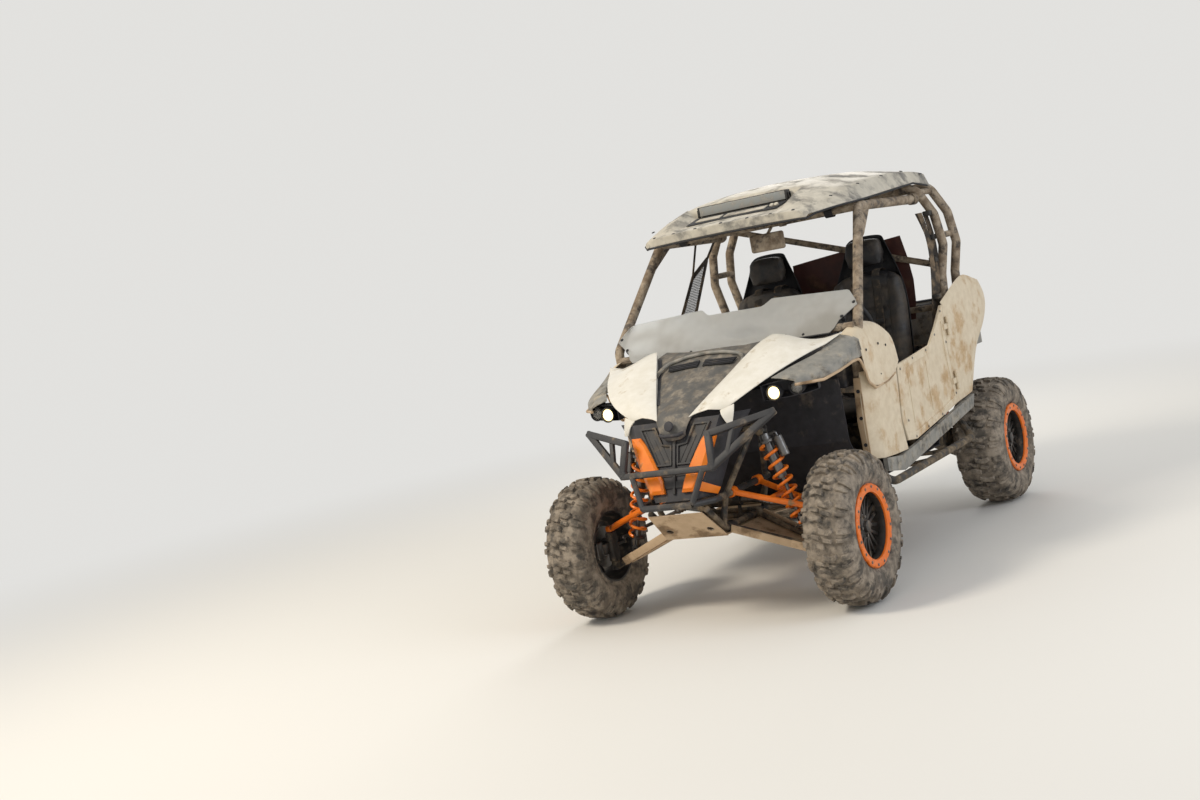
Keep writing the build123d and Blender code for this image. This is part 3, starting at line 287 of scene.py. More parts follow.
# soft-touch elastomer, moulded
muddy("grip_black", "#17171a", "#232326", 0.66, 0.12, "#6f6659", "#443c33", 60, 1.2, 0.4, low=0.0)
# polyester webbing, woven
muddy("webbing", "#2a2622", "#3a332b", 0.85, 0.45, "#7e6c56", "#4a3f33", 60, 1.1, 0.5, low=0.0)
print("finishes:", len(paints))

# %% [markdown]
# The seat covers are vinyl over foam. The real cloth-backed vinyl has leather-like cells of about 2 mm with
# shallow creases between them, which a Voronoi distance makes well. Dust lies in the creases.

# %% Vinyl
vinyl, tree, shade, where = new_material("seat_vinyl")
cells = node(tree, "TexVoronoi", {"feature": "DISTANCE_TO_EDGE"}, Vector=where, Scale=1000 / 4)
dust = node(tree, "TexNoise", None, Vector=where, Scale=7.0, Detail=8.0, Roughness=0.65)
film = ramp(tree, dust.outputs["Fac"], (0.42, 0), (0.68, 0.55))
hue = node(tree, "Mix", {"data_type": "RGBA"}, _0=film, _6=linear("#1d1c1e"), _7=linear("#6d6152"))
tree.links.new(hue.outputs[2], shade.inputs["Base Color"])
rough = node(tree, "MapRange", None, Value=film, To_Min=0.46, To_Max=0.9)
tree.links.new(rough.outputs[0], shade.inputs["Roughness"])
creases = node(tree, "Bump", None, Height=ramp(tree, cells.outputs["Distance"], (0.0, 0), (0.12, 1)),
    Distance=0.0005, Strength=0.5)
tree.links.new(creases.outputs[0], shade.inputs["Normal"])
paints["seat_vinyl"] = vinyl

# %% [markdown]
# The half windscreen is clear polycarbonate, 5 mm thick, with a film of dust. Transmission falls where the
# dust lies, so the film looks like dust and not like frosted glass. It lies thickest low down and before
# the driver.

# %% Polycarbonate
sheet_clear, tree, shade, where = new_material("polycarbonate")
split = node(tree, "SeparateXYZ", None, Vector=where)
blots = node(tree, "TexNoise", None, Vector=where, Scale=4.0, Detail=2.5, Roughness=0.55)
side = node(tree, "MapRange", None, Value=split.outputs["X"], From_Min=-0.6, From_Max=0.7, To_Min=-0.10,
    To_Max=0.16)
down = node(tree, "MapRange", None, Value=split.outputs["Z"], From_Min=1.22, From_Max=1.42, To_Min=0.14,
    To_Max=-0.06)
film = node(tree, "Math", {"operation": "ADD"}, _0=side.outputs[0], _1=down.outputs[0])
film = node(tree, "Math", {"operation": "ADD"}, _0=film.outputs[0], _1=blots.outputs["Fac"])
film = node(tree, "MapRange", {"interpolation_type": "SMOOTHSTEP"}, Value=film.outputs[0], From_Min=0.30,
    From_Max=0.86, To_Min=0.06, To_Max=0.94)
clear = node(tree, "MapRange", None, Value=film.outputs[0], To_Min=1.0, To_Max=0.0)
tree.links.new(clear.outputs[0], shade.inputs["Transmission Weight"])
hue = node(tree, "Mix", {"data_type": "RGBA"}, _0=film.outputs[0], _6=linear("#f4f5f2"),
    _7=linear("#84817a"))
tree.links.new(hue.outputs[2], shade.inputs["Base Color"])
rough = node(tree, "MapRange", None, Value=film.outputs[0], To_Min=0.34, To_Max=0.6)
tree.links.new(rough.outputs[0], shade.inputs["Roughness"])
shade.inputs["IOR"].default_value = 1.58
paints["clear_sheet"] = sheet_clear

# %% [markdown]
# Lamp lenses are clear acrylic over bright reflectors. The lit ones glow a warm white from a small bowl,
# and the red tail lenses are tinted right through, with moulded prisms as a wave of bumps 4 mm apart.

# %% Lenses


def lens(name, colour, glow, strength, clear, prism_mm):
    """A moulded lens with prisms, which may glow."""
    made, tree, shade, where = new_material(name)
    wave = node(tree, "TexWave", {"bands_direction": "X"}, Vector=where, Scale=1000 / prism_mm / 3.1,
        Distortion=0.4)
    grime = node(tree, "TexNoise", None, Vector=where, Scale=26.0, Detail=8.0)
    film = ramp(tree, grime.outputs["Fac"], (0.45, 0.02), (0.75, 0.6))
    hue = node(tree, "Mix", {"data_type": "RGBA"}, _0=film, _6=linear(colour), _7=linear("#9a8d7b"))
    tree.links.new(hue.outputs[2], shade.inputs["Base Color"])
    rough = node(tree, "MapRange", None, Value=film, To_Min=0.05, To_Max=0.7)
    tree.links.new(rough.outputs[0], shade.inputs["Roughness"])
    ripple = node(tree, "Bump", None, Height=wave.outputs["Fac"], Distance=0.0008, Strength=0.4)
    tree.links.new(ripple.outputs[0], shade.inputs["Normal"])
    shade.inputs["IOR"].default_value = 1.49
    shade.inputs["Transmission Weight"].default_value = clear
    shade.inputs["Emission Color"].default_value = linear(glow)
    shade.inputs["Emission Strength"].default_value = strength
    return made


paints["lens_clear"] = lens("acrylic_lens", "#f4f3ee", "#fff1cf", 0.0, 0.85, 4)
paints["lamp_lit"] = lens("lit_reflector", "#fff0cc", "#ffe3a0", 2.6, 0.0, 5)
paints["bar_lens"] = lens("bar_lens", "#8f9290", "#fff6e0", 0.0, 0.0, 9)
paints["tail_red"] = lens("red_acrylic", "#8d130d", "#ff2010", 0.05, 0.0, 4)
print("finishes:", len(paints))

# %% [markdown]
# Shapes are drawn in millimetres and turned to metres once, at the end. Most of them start from four moves:
# a sheet that is a grid laid on a table of points, a turned form that spins a short profile, a tube along a
# route, and a block with bevelled edges. Each helper adds its shape to a mesh in hand, so one piece may
# hold many of them.

# %% Shape helpers


def whole(bm):
    """All that a mesh in hand holds."""
    return bm.verts[:] + bm.edges[:] + bm.faces[:]

def in_order(items):
    """Each item once, in the order of its first showing, so that each run gives the same mesh."""
    return list(dict.fromkeys(items))

def points_in(geometry):
    """The points in an operator's result."""
    return [x for x in geometry if isinstance(x, bmesh.types.BMVert)]

def push_out(bm, faces, depth):
    """Extrude faces, and move what is new along depth."""
    made = bmesh.ops.extrude_face_region(bm, geom=faces)["geom"]
    bmesh.ops.translate(bm, vec=depth, verts=points_in(made))

def closed_line(bm, points):
    """Points joined in a ring. Returns them and their edges."""
    verts = [bm.verts.new(p) for p in points]
    return verts, [bm.edges.new(pair) for pair in zip(verts, verts[1:] + verts[:1])]

def sheet(bm, rows, mirror=False):
    """A grid laid on rows of points."""
    across, along = len(rows[0]), len(rows)
    made = bmesh.ops.create_grid(bm, x_segments=across - 1, y_segments=along - 1, size=1)["verts"]
    order = sorted(made, key=lambda v: (round(v.co.y, 5), round(v.co.x, 5)))
    for vert, point in zip(order, [p for row in rows for p in row]):
        vert.co = point
    if mirror:
        faces = list({f for v in made for f in v.link_faces})
        twin(bm, faces)


def twin(bm, faces=None):
    """Add the mirror image in the car's middle plane."""
    faces = faces or bm.faces[:]
    geometry = list({x for f in faces for x in (*f.verts, *f.edges)}) + list(faces)
    copied = bmesh.ops.duplicate(bm, geom=geometry)["geom"]
    verts = points_in(copied)
    bmesh.ops.scale(bm, vec=(-1, 1, 1), verts=verts)
    bmesh.ops.reverse_faces(bm, faces=[x for x in copied if isinstance(x, bmesh.types.BMFace)])


def join(bm, other):
    """Add another mesh in hand to this one, and let go of it."""
    mesh = bpy.data.meshes.new("joined")
    other.to_mesh(mesh)
    other.free()
    bm.from_mesh(mesh)
    bpy.data.meshes.remove(mesh)


def frame_along(start, axis):
    """A matrix whose z runs along the axis from the start."""
    turned = Vector(axis).normalized().to_track_quat("Z", "Y").to_matrix().to_4x4()
    return Matrix.Translation(start) @ turned


def turned(bm, start, axis, profile, steps=32, angle=360, from_angle=0):
    """Spin a profile of (height along the axis, radius) round the axis."""
    place = frame_along(start, axis) @ Matrix.Rotation(math.radians(from_angle), 4, "Z")
    verts = [bm.verts.new(place @ Vector((r, 0, h))) for h, r in profile]
    edges = [bm.edges.new(pair) for pair in zip(verts, verts[1:])]
    bmesh.ops.spin(bm, geom=verts + edges, cent=place.translation, axis=place.col[2].to_3d(),
        angle=math.radians(angle), steps=steps, use_merge=angle == 360, dvec=(0, 0, 0))


def pin(bm, start, axis, length, radius, steps):
    """A plain round bar, closed at its ends."""
    turned(bm, start, axis, [(0, 0.01), (0, radius), (length, radius), (length, 0.01)], steps)

def rounded(points, bend, steps=5):
    """A route with its corners rounded to arcs."""
    spots = [Vector(p) for p in points]
    route = [spots[0]]
    for before, corner, after in zip(spots, spots[1:], spots[2:]):
        back, ahead = (before - corner).normalized(), (after - corner).normalized()
        half = back.angle(ahead) / 2
        reach = min(bend / math.tan(half), (before - corner).length * 0.48, (after - corner).length * 0.48)
        if half > math.radians(88):
            route.append(corner)
            continue
        first, last = corner + back * reach, corner + ahead * reach
        for step in range(steps + 1):
            t = step / steps
            route.append(first * (1 - t) ** 2 + corner * (2 * t * (1 - t)) + last * t ** 2)
    return route + [spots[-1]]


def tube(bm, points, radius, bend=0, sides=16):
    """A round bar along a route, closed at its ends."""
    line = bpy.data.curves.new("route", "CURVE")
    line.dimensions = "3D"
    line.bevel_depth = radius
    line.bevel_resolution = max(0, sides // 4 - 1)
    line.use_fill_caps = True
    route = rounded(points, bend) if bend else [Vector(p) for p in points]
    spline = line.splines.new("POLY")
    spline.points.add(len(route) - 1)
    for spot, point in zip(spline.points, route):
        spot.co = (*point, 1)
    holder = bpy.data.objects.new("route", line)
    mesh = bpy.data.meshes.new_from_object(holder)
    bm.from_mesh(mesh)
    for data in (holder, line, mesh):
        (bpy.data.objects if data is holder else bpy.data.curves if data is line
            else bpy.data.meshes).remove(data)


def block(bm, low, high, bevel=0.0, place=None, segments=2):
    """A box between two corners, its edges bevelled."""
    low, high = Vector(tuple(map(min, low, high))), Vector(tuple(map(max, low, high)))
    size = high - low
    matrix = Matrix.Translation((low + high) / 2) @ Matrix.Diagonal((*size, 1))
    verts = bmesh.ops.create_cube(bm, size=1, matrix=(place or Matrix()) @ matrix)["verts"]
    if bevel:
        edges = in_order(e for v in verts for e in v.link_edges)
        bmesh.ops.bevel(bm, geom=edges, offset=bevel, segments=segments, profile=0.5, affect="EDGES",
            material=-1)


def plate(bm, outline, depth, bevel=0.0, segments=2):
    """A flat outline pushed out along depth, its edges bevelled. Returns its new faces."""
    old = set(bm.faces)
    face = bm.faces.new([bm.verts.new(p) for p in outline])
    push_out(bm, [face], depth)
    faces = [f for f in bm.faces if f not in old]
    bmesh.ops.recalc_face_normals(bm, faces=faces)
    if bevel:
        edges = in_order(e for f in faces for e in f.edges)
        bmesh.ops.bevel(bm, geom=edges, offset=bevel, segments=segments, profile=0.5, affect="EDGES",
            material=-1)
    return [f for f in bm.faces if f not in old]


def bolt(bm, spot, axis, size=6, height=4):
    """A hexagon head with a washer."""
    turned(bm, spot, axis, [(0, 0.01), (0, size * 1.5), (1, size * 1.5), (1, size)], 12)
    turned(bm, spot, axis, [(1, size), (height, size), (height + 0.8, size * 0.8), (height + 0.8, 0.01)], 6)


def piece(bm, name, paint, stands_for=(), body="chassis", slot=None, angle=35, merge=0.01, wall=0.0,
        edge=0.0, smooth=0, crease=None):
    """Finish a mesh: clean it, scale it to metres, add modifiers, and say what it rides on and stands for."""
    slot = slot or paint
    bmesh.ops.remove_doubles(bm, verts=bm.verts, dist=merge)
    bmesh.ops.recalc_face_normals(bm, faces=bm.faces)
    if crease:
        layer = bm.edges.layers.float.new("crease_edge")
        for e in bm.edges:
            if crease(e):
                e[layer] = 1.0
    bmesh.ops.scale(bm, vec=(0.001,) * 3, verts=bm.verts)
    mesh = bpy.data.meshes.new(name)
    bm.to_mesh(mesh)
    bm.free()
    mesh.materials.append(paints[paint])
    mesh.polygons.foreach_set("use_smooth", [True] * len(mesh.polygons))
    if not smooth:
        mesh.set_sharp_from_angle(angle=math.radians(angle))
    made = bpy.data.objects.new(name, mesh)
    bpy.context.scene.collection.objects.link(made)
    if smooth:
        sub = made.modifiers.new("smooth", "SUBSURF")
        sub.levels = sub.render_levels = smooth
        sub.boundary_smooth = "PRESERVE_CORNERS"
    if wall:
        thick = made.modifiers.new("wall", "SOLIDIFY")
        thick.thickness = wall / 1000
        thick.offset = -1
    if edge:
        soft = made.modifiers.new("edge", "BEVEL")
        soft.width = edge / 1000
        soft.segments = 2
        soft.limit_method = "ANGLE"
        soft.angle_limit = math.radians(50)
    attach(made, body)
    if stands_for:
        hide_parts(*stands_for)
    return made


# moulded sheet: smoothed, 4 mm thick, its cut edge rounded by 1 mm
skin = {"smooth": 2, "wall": 4, "edge": 1.0}
print("helpers ready")

# %% [markdown]
# The tyres are 28 inch mud tyres. A carcass is one spun profile, with a bead, a bulging side wall and a
# flat crown. The lugs are drawn on the unrolled tread, as outlines in millimetres round and across it. They
# are pushed up, bevelled and bent round the carcass, and a spin with duplicates repeats a pitch all the way
# round.

# %% Tyres
# millimetres: the tyre radius, the front axle, the kingpin and the steering rack
wheel_r = 356
front_y = -1070
kingpin = 610
rack_y, rack_z = -965, 510
crown = [(0, 340), (58, 336), (86, 326), (102, 306), (111, 276), (114, 250)]
# lug outlines on the unrolled tread: round, across; the first is at the centre, the others cross the
# shoulder
lug_outlines = [
    ([(-24, -10), (8, -12), (22, 34), (6, 58), (-16, 54), (-8, 20)], 16),
    ([(26, 8), (46, 4), (58, 44), (38, 50)], 15),
    ([(-6, 68), (18, 66), (24, 104), (22, 140), (-4, 140), (-10, 104)], 15),
    ([(36, 62), (56, 60), (62, 96), (54, 122), (36, 122), (42, 92)], 13),
]
pitches = 18


def on_crown(half, across):
    """The carcass point and its outward normal at a distance across the tread."""
    outline = [(x * half / 115, r) for x, r in crown]
    left = abs(across)
    for (x0, r0), (x1, r1) in zip(outline, outline[1:]):
        run = math.hypot(x1 - x0, r1 - r0)
        if left <= run or (x1, r1) == outline[-1]:
            t = left / run
            sign = -1 if across < 0 else 1
            normal = Vector((sign * (r0 - r1), 0, x1 - x0)).normalized()
            return Vector((sign * (x0 + (x1 - x0) * t), 0, r0 + (r1 - r0) * t)), normal
        left -= run


def tyre_shape(half):
    """A tyre about the x axis."""
    bm = bmesh.new()
    seat = half - 22
    side_wall = [(seat, 178), (seat, 194.5), (half - 12, 204), (half - 2, 224), (half, 246),
        (half - 4, 276), (half - 13, 306), (half - 29, 326), (half - 57, 336), (0, 340)]
    outline = [(-x, r) for x, r in side_wall] + side_wall[-2::-1] + [(-seat, 178)]
    turned(bm, (0, 0, 0), (1, 0, 0), outline, 72)
    stretch = half / 115
    for side, shift in ((1, 0), (-1, 0.5)):
        for outline, height in lug_outlines:
            lug = bmesh.new()
            plate(lug, [(u, a * stretch, -5) for u, a in outline], (0, 0, 5 + height))
            tops = [v for v in lug.verts if v.co.z > 0]
            middle = sum((v.co for v in tops), Vector()) / len(tops)
            for v in tops:
                v.co.xy = (middle + (v.co - middle) * 0.88).xy
            soft = [e for e in lug.edges if any(v in tops for v in e.verts)]
            bmesh.ops.bevel(lug, geom=soft, offset=2.2, segments=1, profile=0.5, affect="EDGES",
                material=-1)
            for across in (12, 36, 76, 92, 108, 124):
                bmesh.ops.bisect_plane(lug, geom=whole(lug), plane_co=(0, across * stretch, 0),
                    plane_no=(0, 1, 0))
            for v in lug.verts:
                across, up = v.co.y * side, v.co.z
                spot, normal = on_crown(half, across)
                fade = 1 - 0.45 * max(0.0, min(1.0, (abs(across) - 70 * stretch) / 60))
                angle = v.co.x * side / wheel_r + shift * 2 * math.pi / pitches
                v.co = Matrix.Rotation(angle, 3, "X") @ (spot + normal * up * fade)
            bmesh.ops.spin(lug, geom=whole(lug), cent=(0, 0, 0), axis=(1, 0, 0),
                angle=2 * math.pi * (1 - 1 / pitches), steps=pitches - 1, use_duplicate=True,
                dvec=(0, 0, 0))
            join(bm, lug)
    return bm


# the wheels: corner, side, centre line, axle, half of the tyre's width
wheels = [("fl", 1, 698, front_y, 115), ("fr", -1, 698, front_y, 115), ("rl", 1, 673, 1070, 140),
    ("rr", -1, 673, 1070, 140)]


def set_wheel(bm, side, centre, axle):
    """Move a wheel shape from the x axis to its place, its outer face outwards."""
    turn = Matrix.Rotation(0 if side > 0 else math.pi, 4, "Z")
    bmesh.ops.transform(bm, matrix=Matrix.Translation((side * centre, axle, wheel_r)) @ turn,
        verts=bm.verts)
    return bm


for corner, side, centre, axle, half in wheels:
    bm = set_wheel(tyre_shape(half), side, centre, axle)
    made = piece(bm, f"tread_{corner}", "tyre_rubber", [f"tyre_{corner}"], f"wheel_{corner}", merge=0.001)
    print(made.name, len(made.data.polygons), "faces")

# %% [markdown]
# Each rim is cast: a stepped barrel, ten forked spokes and a hub under a cap. One spoke is an outline
# pushed out to a bar and narrowed towards its face, and the same duplicating spin sets the rest. The clamp
# ring outside holds the bead with a circle of bolts, and it has a shallow scallop between each pair.

# %% Rims and clamp rings


def ring_of(bm, geometry, count):
    """Repeat geometry round the x axis."""
    bmesh.ops.spin(bm, geom=geometry, cent=(0, 0, 0), axis=(1, 0, 0), angle=2 * math.pi * (1 - 1 / count),
        steps=count - 1, use_duplicate=True, dvec=(0, 0, 0))


for corner, side, centre, axle, half in wheels:
    seat, web = half - 22, half - 62
    bm = bmesh.new()
    turned(bm, (0, 0, 0), (1, 0, 0), [(-seat, 169), (-seat, 178), (seat - 1, 178), (seat - 1, 164),
        (seat - 10, 160), (web + 12, 156), (web + 2, 158), (web - 14, 166), (-seat + 12, 166),
        (-seat, 169)], 60)
    turned(bm, (0, 0, 0), (1, 0, 0), [(web - 88, 25.5), (web - 88, 44), (web - 14, 44), (web - 6, 56),
        (web + 2, 54), (web + 6, 36), (web + 10, 30), (web + 24, 27), (web + 27, 20), (web + 27, 0.01)], 40)
    for lean in (-1, 1):
        before = set(bm.verts)
        spoke = plate(bm, [(web - 10, lean * 4, 44), (web - 10, lean * 20, 44), (web - 8, lean * 30, 160),
            (web - 8, lean * 15, 160)], (12, 0, 0), 2.5)
        for v in [v for v in bm.verts if v not in before and v.co.x > web]:
            v.co.x += 4 - 9 * (v.co.z - 44) / 116
        verts = [v for v in bm.verts if v not in before]
        ring_of(bm, verts + in_order(e for f in spoke for e in f.edges) + spoke, 10)
    set_wheel(bm, side, centre, axle)
    piece(bm, f"spokes_{corner}", "rim_enamel", [f"rim_{corner}"], f"wheel_{corner}")

    bm = bmesh.new()
    before = set(bm.verts)
    turned(bm, (0, 0, 0), (1, 0, 0), [(seat, 152), (seat, 192), (seat + 9, 192), (seat + 14, 187),
        (seat + 14, 166), (seat + 10, 160), (seat + 10, 154), (seat + 7, 152), (seat, 152)], 96)
    for v in bm.verts:
        angle = math.atan2(v.co.y, v.co.z)
        radius = math.hypot(v.co.y, v.co.z)
        if radius > 186:
            scallop = max(0.0, math.cos(angle * 16)) ** 6 * 5.0
            v.co.yz = v.co.yz * ((radius - scallop) / radius)
    set_wheel(bm, side, centre, axle)
    piece(bm, f"clamp_{corner}", "ring_orange", [f"ring_{corner}"], f"wheel_{corner}")

    bm = bmesh.new()
    angle = math.pi / 16
    bolt(bm, (seat + 13.2, 176 * math.sin(angle), 176 * math.cos(angle)), (1, 0, 0), 5.5, 3.6)
    ring_of(bm, whole(bm), 16)
    nuts = bmesh.new()
    bolt(nuts, (web + 3, 0, 44), (1, 0, 0), 8, 12)
    ring_of(nuts, whole(nuts), 4)
    join(bm, nuts)
    turned(bm, (0, 0, 0), (1, 0, 0), [(web - 90, 46), (web - 90, 104), (web - 94, 104), (web - 94, 46),
        (web - 90, 46)], 48)
    set_wheel(bm, side, centre, axle)
    piece(bm, f"wheel_bolts_{corner}", "steel", (), f"wheel_{corner}", merge=0.001)
print("rims, rings and bolts: 4 of each")

# %% [markdown]
# The suspension shows most at the front: a silver damper inside an orange spring, and orange upper arms. A
# spring is a circle carried round an axis while it climbs, which is what spin does with a step vector. Wide
# turns of stiff wire tell that this is a long-travel spring.

# %% Shocks and springs
# top eye and bottom eye of the left-hand shocks
shock_eyes = [((330, front_y, 845), (472, front_y, 337.8)), ((400, 856.7, 950), (440, 960, 476))]


def coil(bm, start, axis, height, radius, wire, turns, steps=22):
    """A helix of round wire with closed ends."""
    place = frame_along(start, axis)
    along = place.col[2].to_3d()
    circle = bmesh.ops.create_circle(bm, segments=10, radius=wire,
        matrix=place @ Matrix.Translation((radius, 0, 0)) @ Matrix.Rotation(math.pi / 2, 4, "X"))
    edges = in_order(e for v in circle["verts"] for e in v.link_edges)
    count = int(turns * steps)
    bmesh.ops.spin(bm, geom=circle["verts"] + edges, cent=place.translation, axis=along,
        angle=2 * math.pi * turns, steps=count, dvec=along * (height / count), use_merge=False)
    bmesh.ops.holes_fill(bm, edges=[e for e in bm.edges if e.is_boundary])


springs = bmesh.new()
dampers = bmesh.new()
for top, bottom in shock_eyes:
    foot, head = Vector(bottom), Vector(top)
    run = head - foot
    long, axis = run.length, run.normalized()
    coil(springs, foot + axis * 68, axis, long - 136, 38.5, 7.8, 8 if long > 500 else 7)
    turned(dampers, foot, axis, [(8, 0.01), (8, 12), (46, 12), (50, 30), (54, 42), (60, 43.5), (61, 30),
        (66, 19), (96, 18), (98, 14), (99, 10), (long * 0.55, 10), (long * 0.55, 22), (long * 0.57, 25),
        (long - 64, 25), (long - 62, 43), (long - 58, 43.5), (long - 50, 40), (long - 48, 27),
        (long - 20, 25), (long - 12, 14), (long - 8, 0.01)], 32)
    for eye in (foot, head):
        turned(dampers, eye - Vector((0, 19.5, 0)), (0, 1, 0), [(0, 5), (0, 17), (4, 17.3), (35, 17.3),
            (39, 17), (39, 5), (0, 5)], 28)
    side = axis.cross(Vector((0, 1, 0))).normalized()
    bottle = head - axis * 150 + side * (-62 if top[1] < 0 else 62)
    turned(dampers, bottle, axis, [(0, 0.01), (0, 19), (4, 22), (96, 22), (100, 19), (102, 0.01)], 24)
    tube(dampers, [bottle + axis * 98, bottle + axis * 122, head - axis * 30 + side * 10], 6, 16)
for bm in (springs, dampers):
    twin(bm)
piece(springs, "spring_coils", "spring_orange", ["coil_springs"])
piece(dampers, "shock_bodies", "damper", ["shocks"])

# %% [markdown]
# The arms are bent from tube and welded to an eye. The upper pair is orange, the lower pair dark, and a
# sheet of tan polyethylene is strapped under each lower arm. Their routes are the frame's own, drawn with
# round tube and real bends.

# %% Arms, rack and guards


def arm_pair(bm, pivot, spread, eye_z, eye_low, eye_high, tie):
    """A wishbone from its pivot on the frame to the eye on the kingpin, and its twin."""
    px, pz = pivot
    reach = kingpin - px
    for end in (-1, 1):
        tube(bm, [(600, front_y + end * 6, eye_z), (550, front_y + end * 30,
            eye_z + 60 * (pz - eye_z) / reach), (px, front_y + end * spread, pz)], 14, 50)
        turned(bm, (px, front_y + end * spread - 22, pz), (0, 1, 0), [(0, 16.4), (0, 22), (2, 24), (42, 24),
            (44, 22), (44, 16.4), (0, 16.4)], 24)
    turned(bm, (kingpin, front_y, eye_low), (0, 0, 1), [(0, 0.01), (0, 19), (3, 22), (eye_high - 3, 22),
        (eye_high, 19), (eye_high, 0.01)], 28)
    tie_x = kingpin - reach * tie
    tie_y = 18 + reach * tie * 0.27
    tie_z = eye_z + (pz - eye_z) * tie
    tube(bm, [(tie_x, front_y - tie_y, tie_z), (tie_x, front_y + tie_y, tie_z)], 12)


bm = bmesh.new()
arm_pair(bm, (190, 595), 131.4, 444.5, 431.5, 26, 0.62)
twin(bm)
piece(bm, "upper_wishbones", "arm_orange", ["upper_arms"])
bm = bmesh.new()
arm_pair(bm, (150, 437.3), 142.2, 250.5, 236.5, 44, 0.30)
twin(bm)
piece(bm, "lower_wishbones", "frame_enamel", ["lower_arms"])

bm = bmesh.new()
tube(bm, [(-190, rack_y, rack_z), (190, rack_y, rack_z)], 14, sides=20)
for side in (-1, 1):
    tube(bm, [(side * 178, rack_y, rack_z), (side * 606, rack_y, 376)], 9, sides=12)
    turned(bm, (side * kingpin, rack_y, 366), (0, 0, 1), [(0, 0.01), (0, 10), (3, 13), (15, 13), (18, 10),
        (18, 0.01)], 20)
    # a ribbed boot over each inner joint
    ribs = [(0, 13)] + [(8 + 9 * i, 17 if i % 2 else 14) for i in range(9)] + [(92, 10)]
    axis = Vector((side * 428, 0, -134)).normalized()
    turned(bm, Vector((side * 162, rack_y, rack_z)), (side, 0, 0), [(0, 14.5), (0, 17), (26, 17),
        (28, 14.5)], 20)
    turned(bm, Vector((side * 190, rack_y, 506)), axis, ribs, 24)
piece(bm, "rack_and_rods", "steel", ["steering_rack"], "steering_rack")

bm = bmesh.new()
slope = math.atan2(437.3 - 250.5, 460)
place = (Matrix.Translation((150 - 14.3 * math.sin(slope), front_y,
    437.3 - 14.3 * math.cos(slope))) @ Matrix.Rotation(slope, 4, "Y"))
outline = [(20, -166), (20, 166), (300, 104), (384, 84), (408, 54), (408, -54), (384, -84), (300, -104)]
under = place.to_3x3() @ Vector((0, 0, -1))
plate(bm, [place @ Vector((x, y, 0)) for x, y in outline], under * 5)
# its edges turn up past the arm's tubes, and it dishes a little under them
for way in (-1, 1):
    edge_line = [(20, way * 166), (300, way * 104), (384, way * 84)]
    for (x0, y0), (x1, y1) in zip(edge_line, edge_line[1:]):
        plate(bm, [place @ Vector(q) for q in ((x0, y0, -5), (x1, y1, -5), (x1, y1 + way * 7, 32),
            (x0, y0 + way * 7, 34))], place.to_3x3() @ Vector((0, -way * 5, 0)), 1)
inset = [(40, -120), (40, 120), (290, 74), (366, 58), (366, -58), (290, -74)]
plate(bm, [place @ Vector((x, y, -4.8)) for x, y in inset], under * 7, 4)
for x, y in ((50, 140), (50, -140), (200, 108), (200, -108), (380, 64), (380, -64)):
    bolt(bm, place @ Vector((x, y, -5)), place.to_3x3() @ Vector((0, 0, -1)), 7, 3)
twin(bm)
piece(bm, "arm_shields", "guard_tan", ["arm_guards"])
print("suspension dressed")

# %% [markdown]
# The frame and the cage are round steel tube, bent cold to a radius of about three diameters. A curve with
# a round bevel is the same idea as a tube in a bender. The cage is caked with clay, thickest on the faces
# that meet the spray.

# %% Lower frame
bm = bmesh.new()
ramp_run = Vector((0, -166, 147)).normalized()
bend_at = Vector((150, -1257, 437.3))
for side in (-1, 1):
    def s(x, y, z, side=side):
        """A point on this side."""
        return (side * x, y, z)

    tube(bm, [s(*(bend_at + ramp_run * 185)), s(*bend_at), s(150, -800, 437.3), s(430, -620, 437.3),
        s(430, 520, 437.3), s(230, 760, 437.3), s(230, 1330, 497.3)], 16, 60)
    tube(bm, [s(190, -1330, 595), s(190, -820, 595)], 16)
    for y, z, lean in ((-1268, 447.3, 168), (-850, 437.3, -190)):
        tube(bm, [s(150, y, z), s(190, y, 595), s(306, y + lean, 870)], 14)
    tube(bm, [s(306, -1110, 868), s(306, -1030, 868)], 16)
    tube(bm, [s(230, 1150, 473.3), s(230, 1150, 760)], 14)
    tube(bm, [s(297, 680, 437.3), s(297, 680, 597.7)], 14)
    tube(bm, [s(85, rack_y, 491), s(85, -975, 437.3)], 9)
    # shock tower plates, each side of the upper eye
    for y in (-1096, -1050):
        plate(bm, [s(292, y, 846), s(292, y, 886), s(322, y, 890), s(348, y, 862), s(346, y, 832),
            s(322, y, 826)], (0, 5, 0), 1)
    # gussets where the bay's posts meet the rails
    for y in (-1268, -850):
        plate(bm, [s(148, y - 3, 456), s(196, y - 3, 580), s(176, y - 3, 580), s(140, y - 3, 500)],
            (0, 6, 0), 1)
turned(bm, (-100, rack_y, rack_z), (1, 0, 0), [(0, 14.8), (0, 24), (8, 26), (192, 26), (200, 24),
    (200, 14.8), (0, 14.8)], 24)
for y, half, z in ((-1268, 150, 447.3), (-975, 150, 437.3), (-840, 150, 437.3), (-590, 640, 437.3),
        (0, 430, 437.3), (500, 430, 437.3), (1310, 230, 495.3), (-1110, 306, 868)):
    tube(bm, [(-half + 4, y, z), (half - 4, y, z)], 13)
piece(bm, "frame_tubes", "frame_enamel", ["frame_lower", "frame_front"])

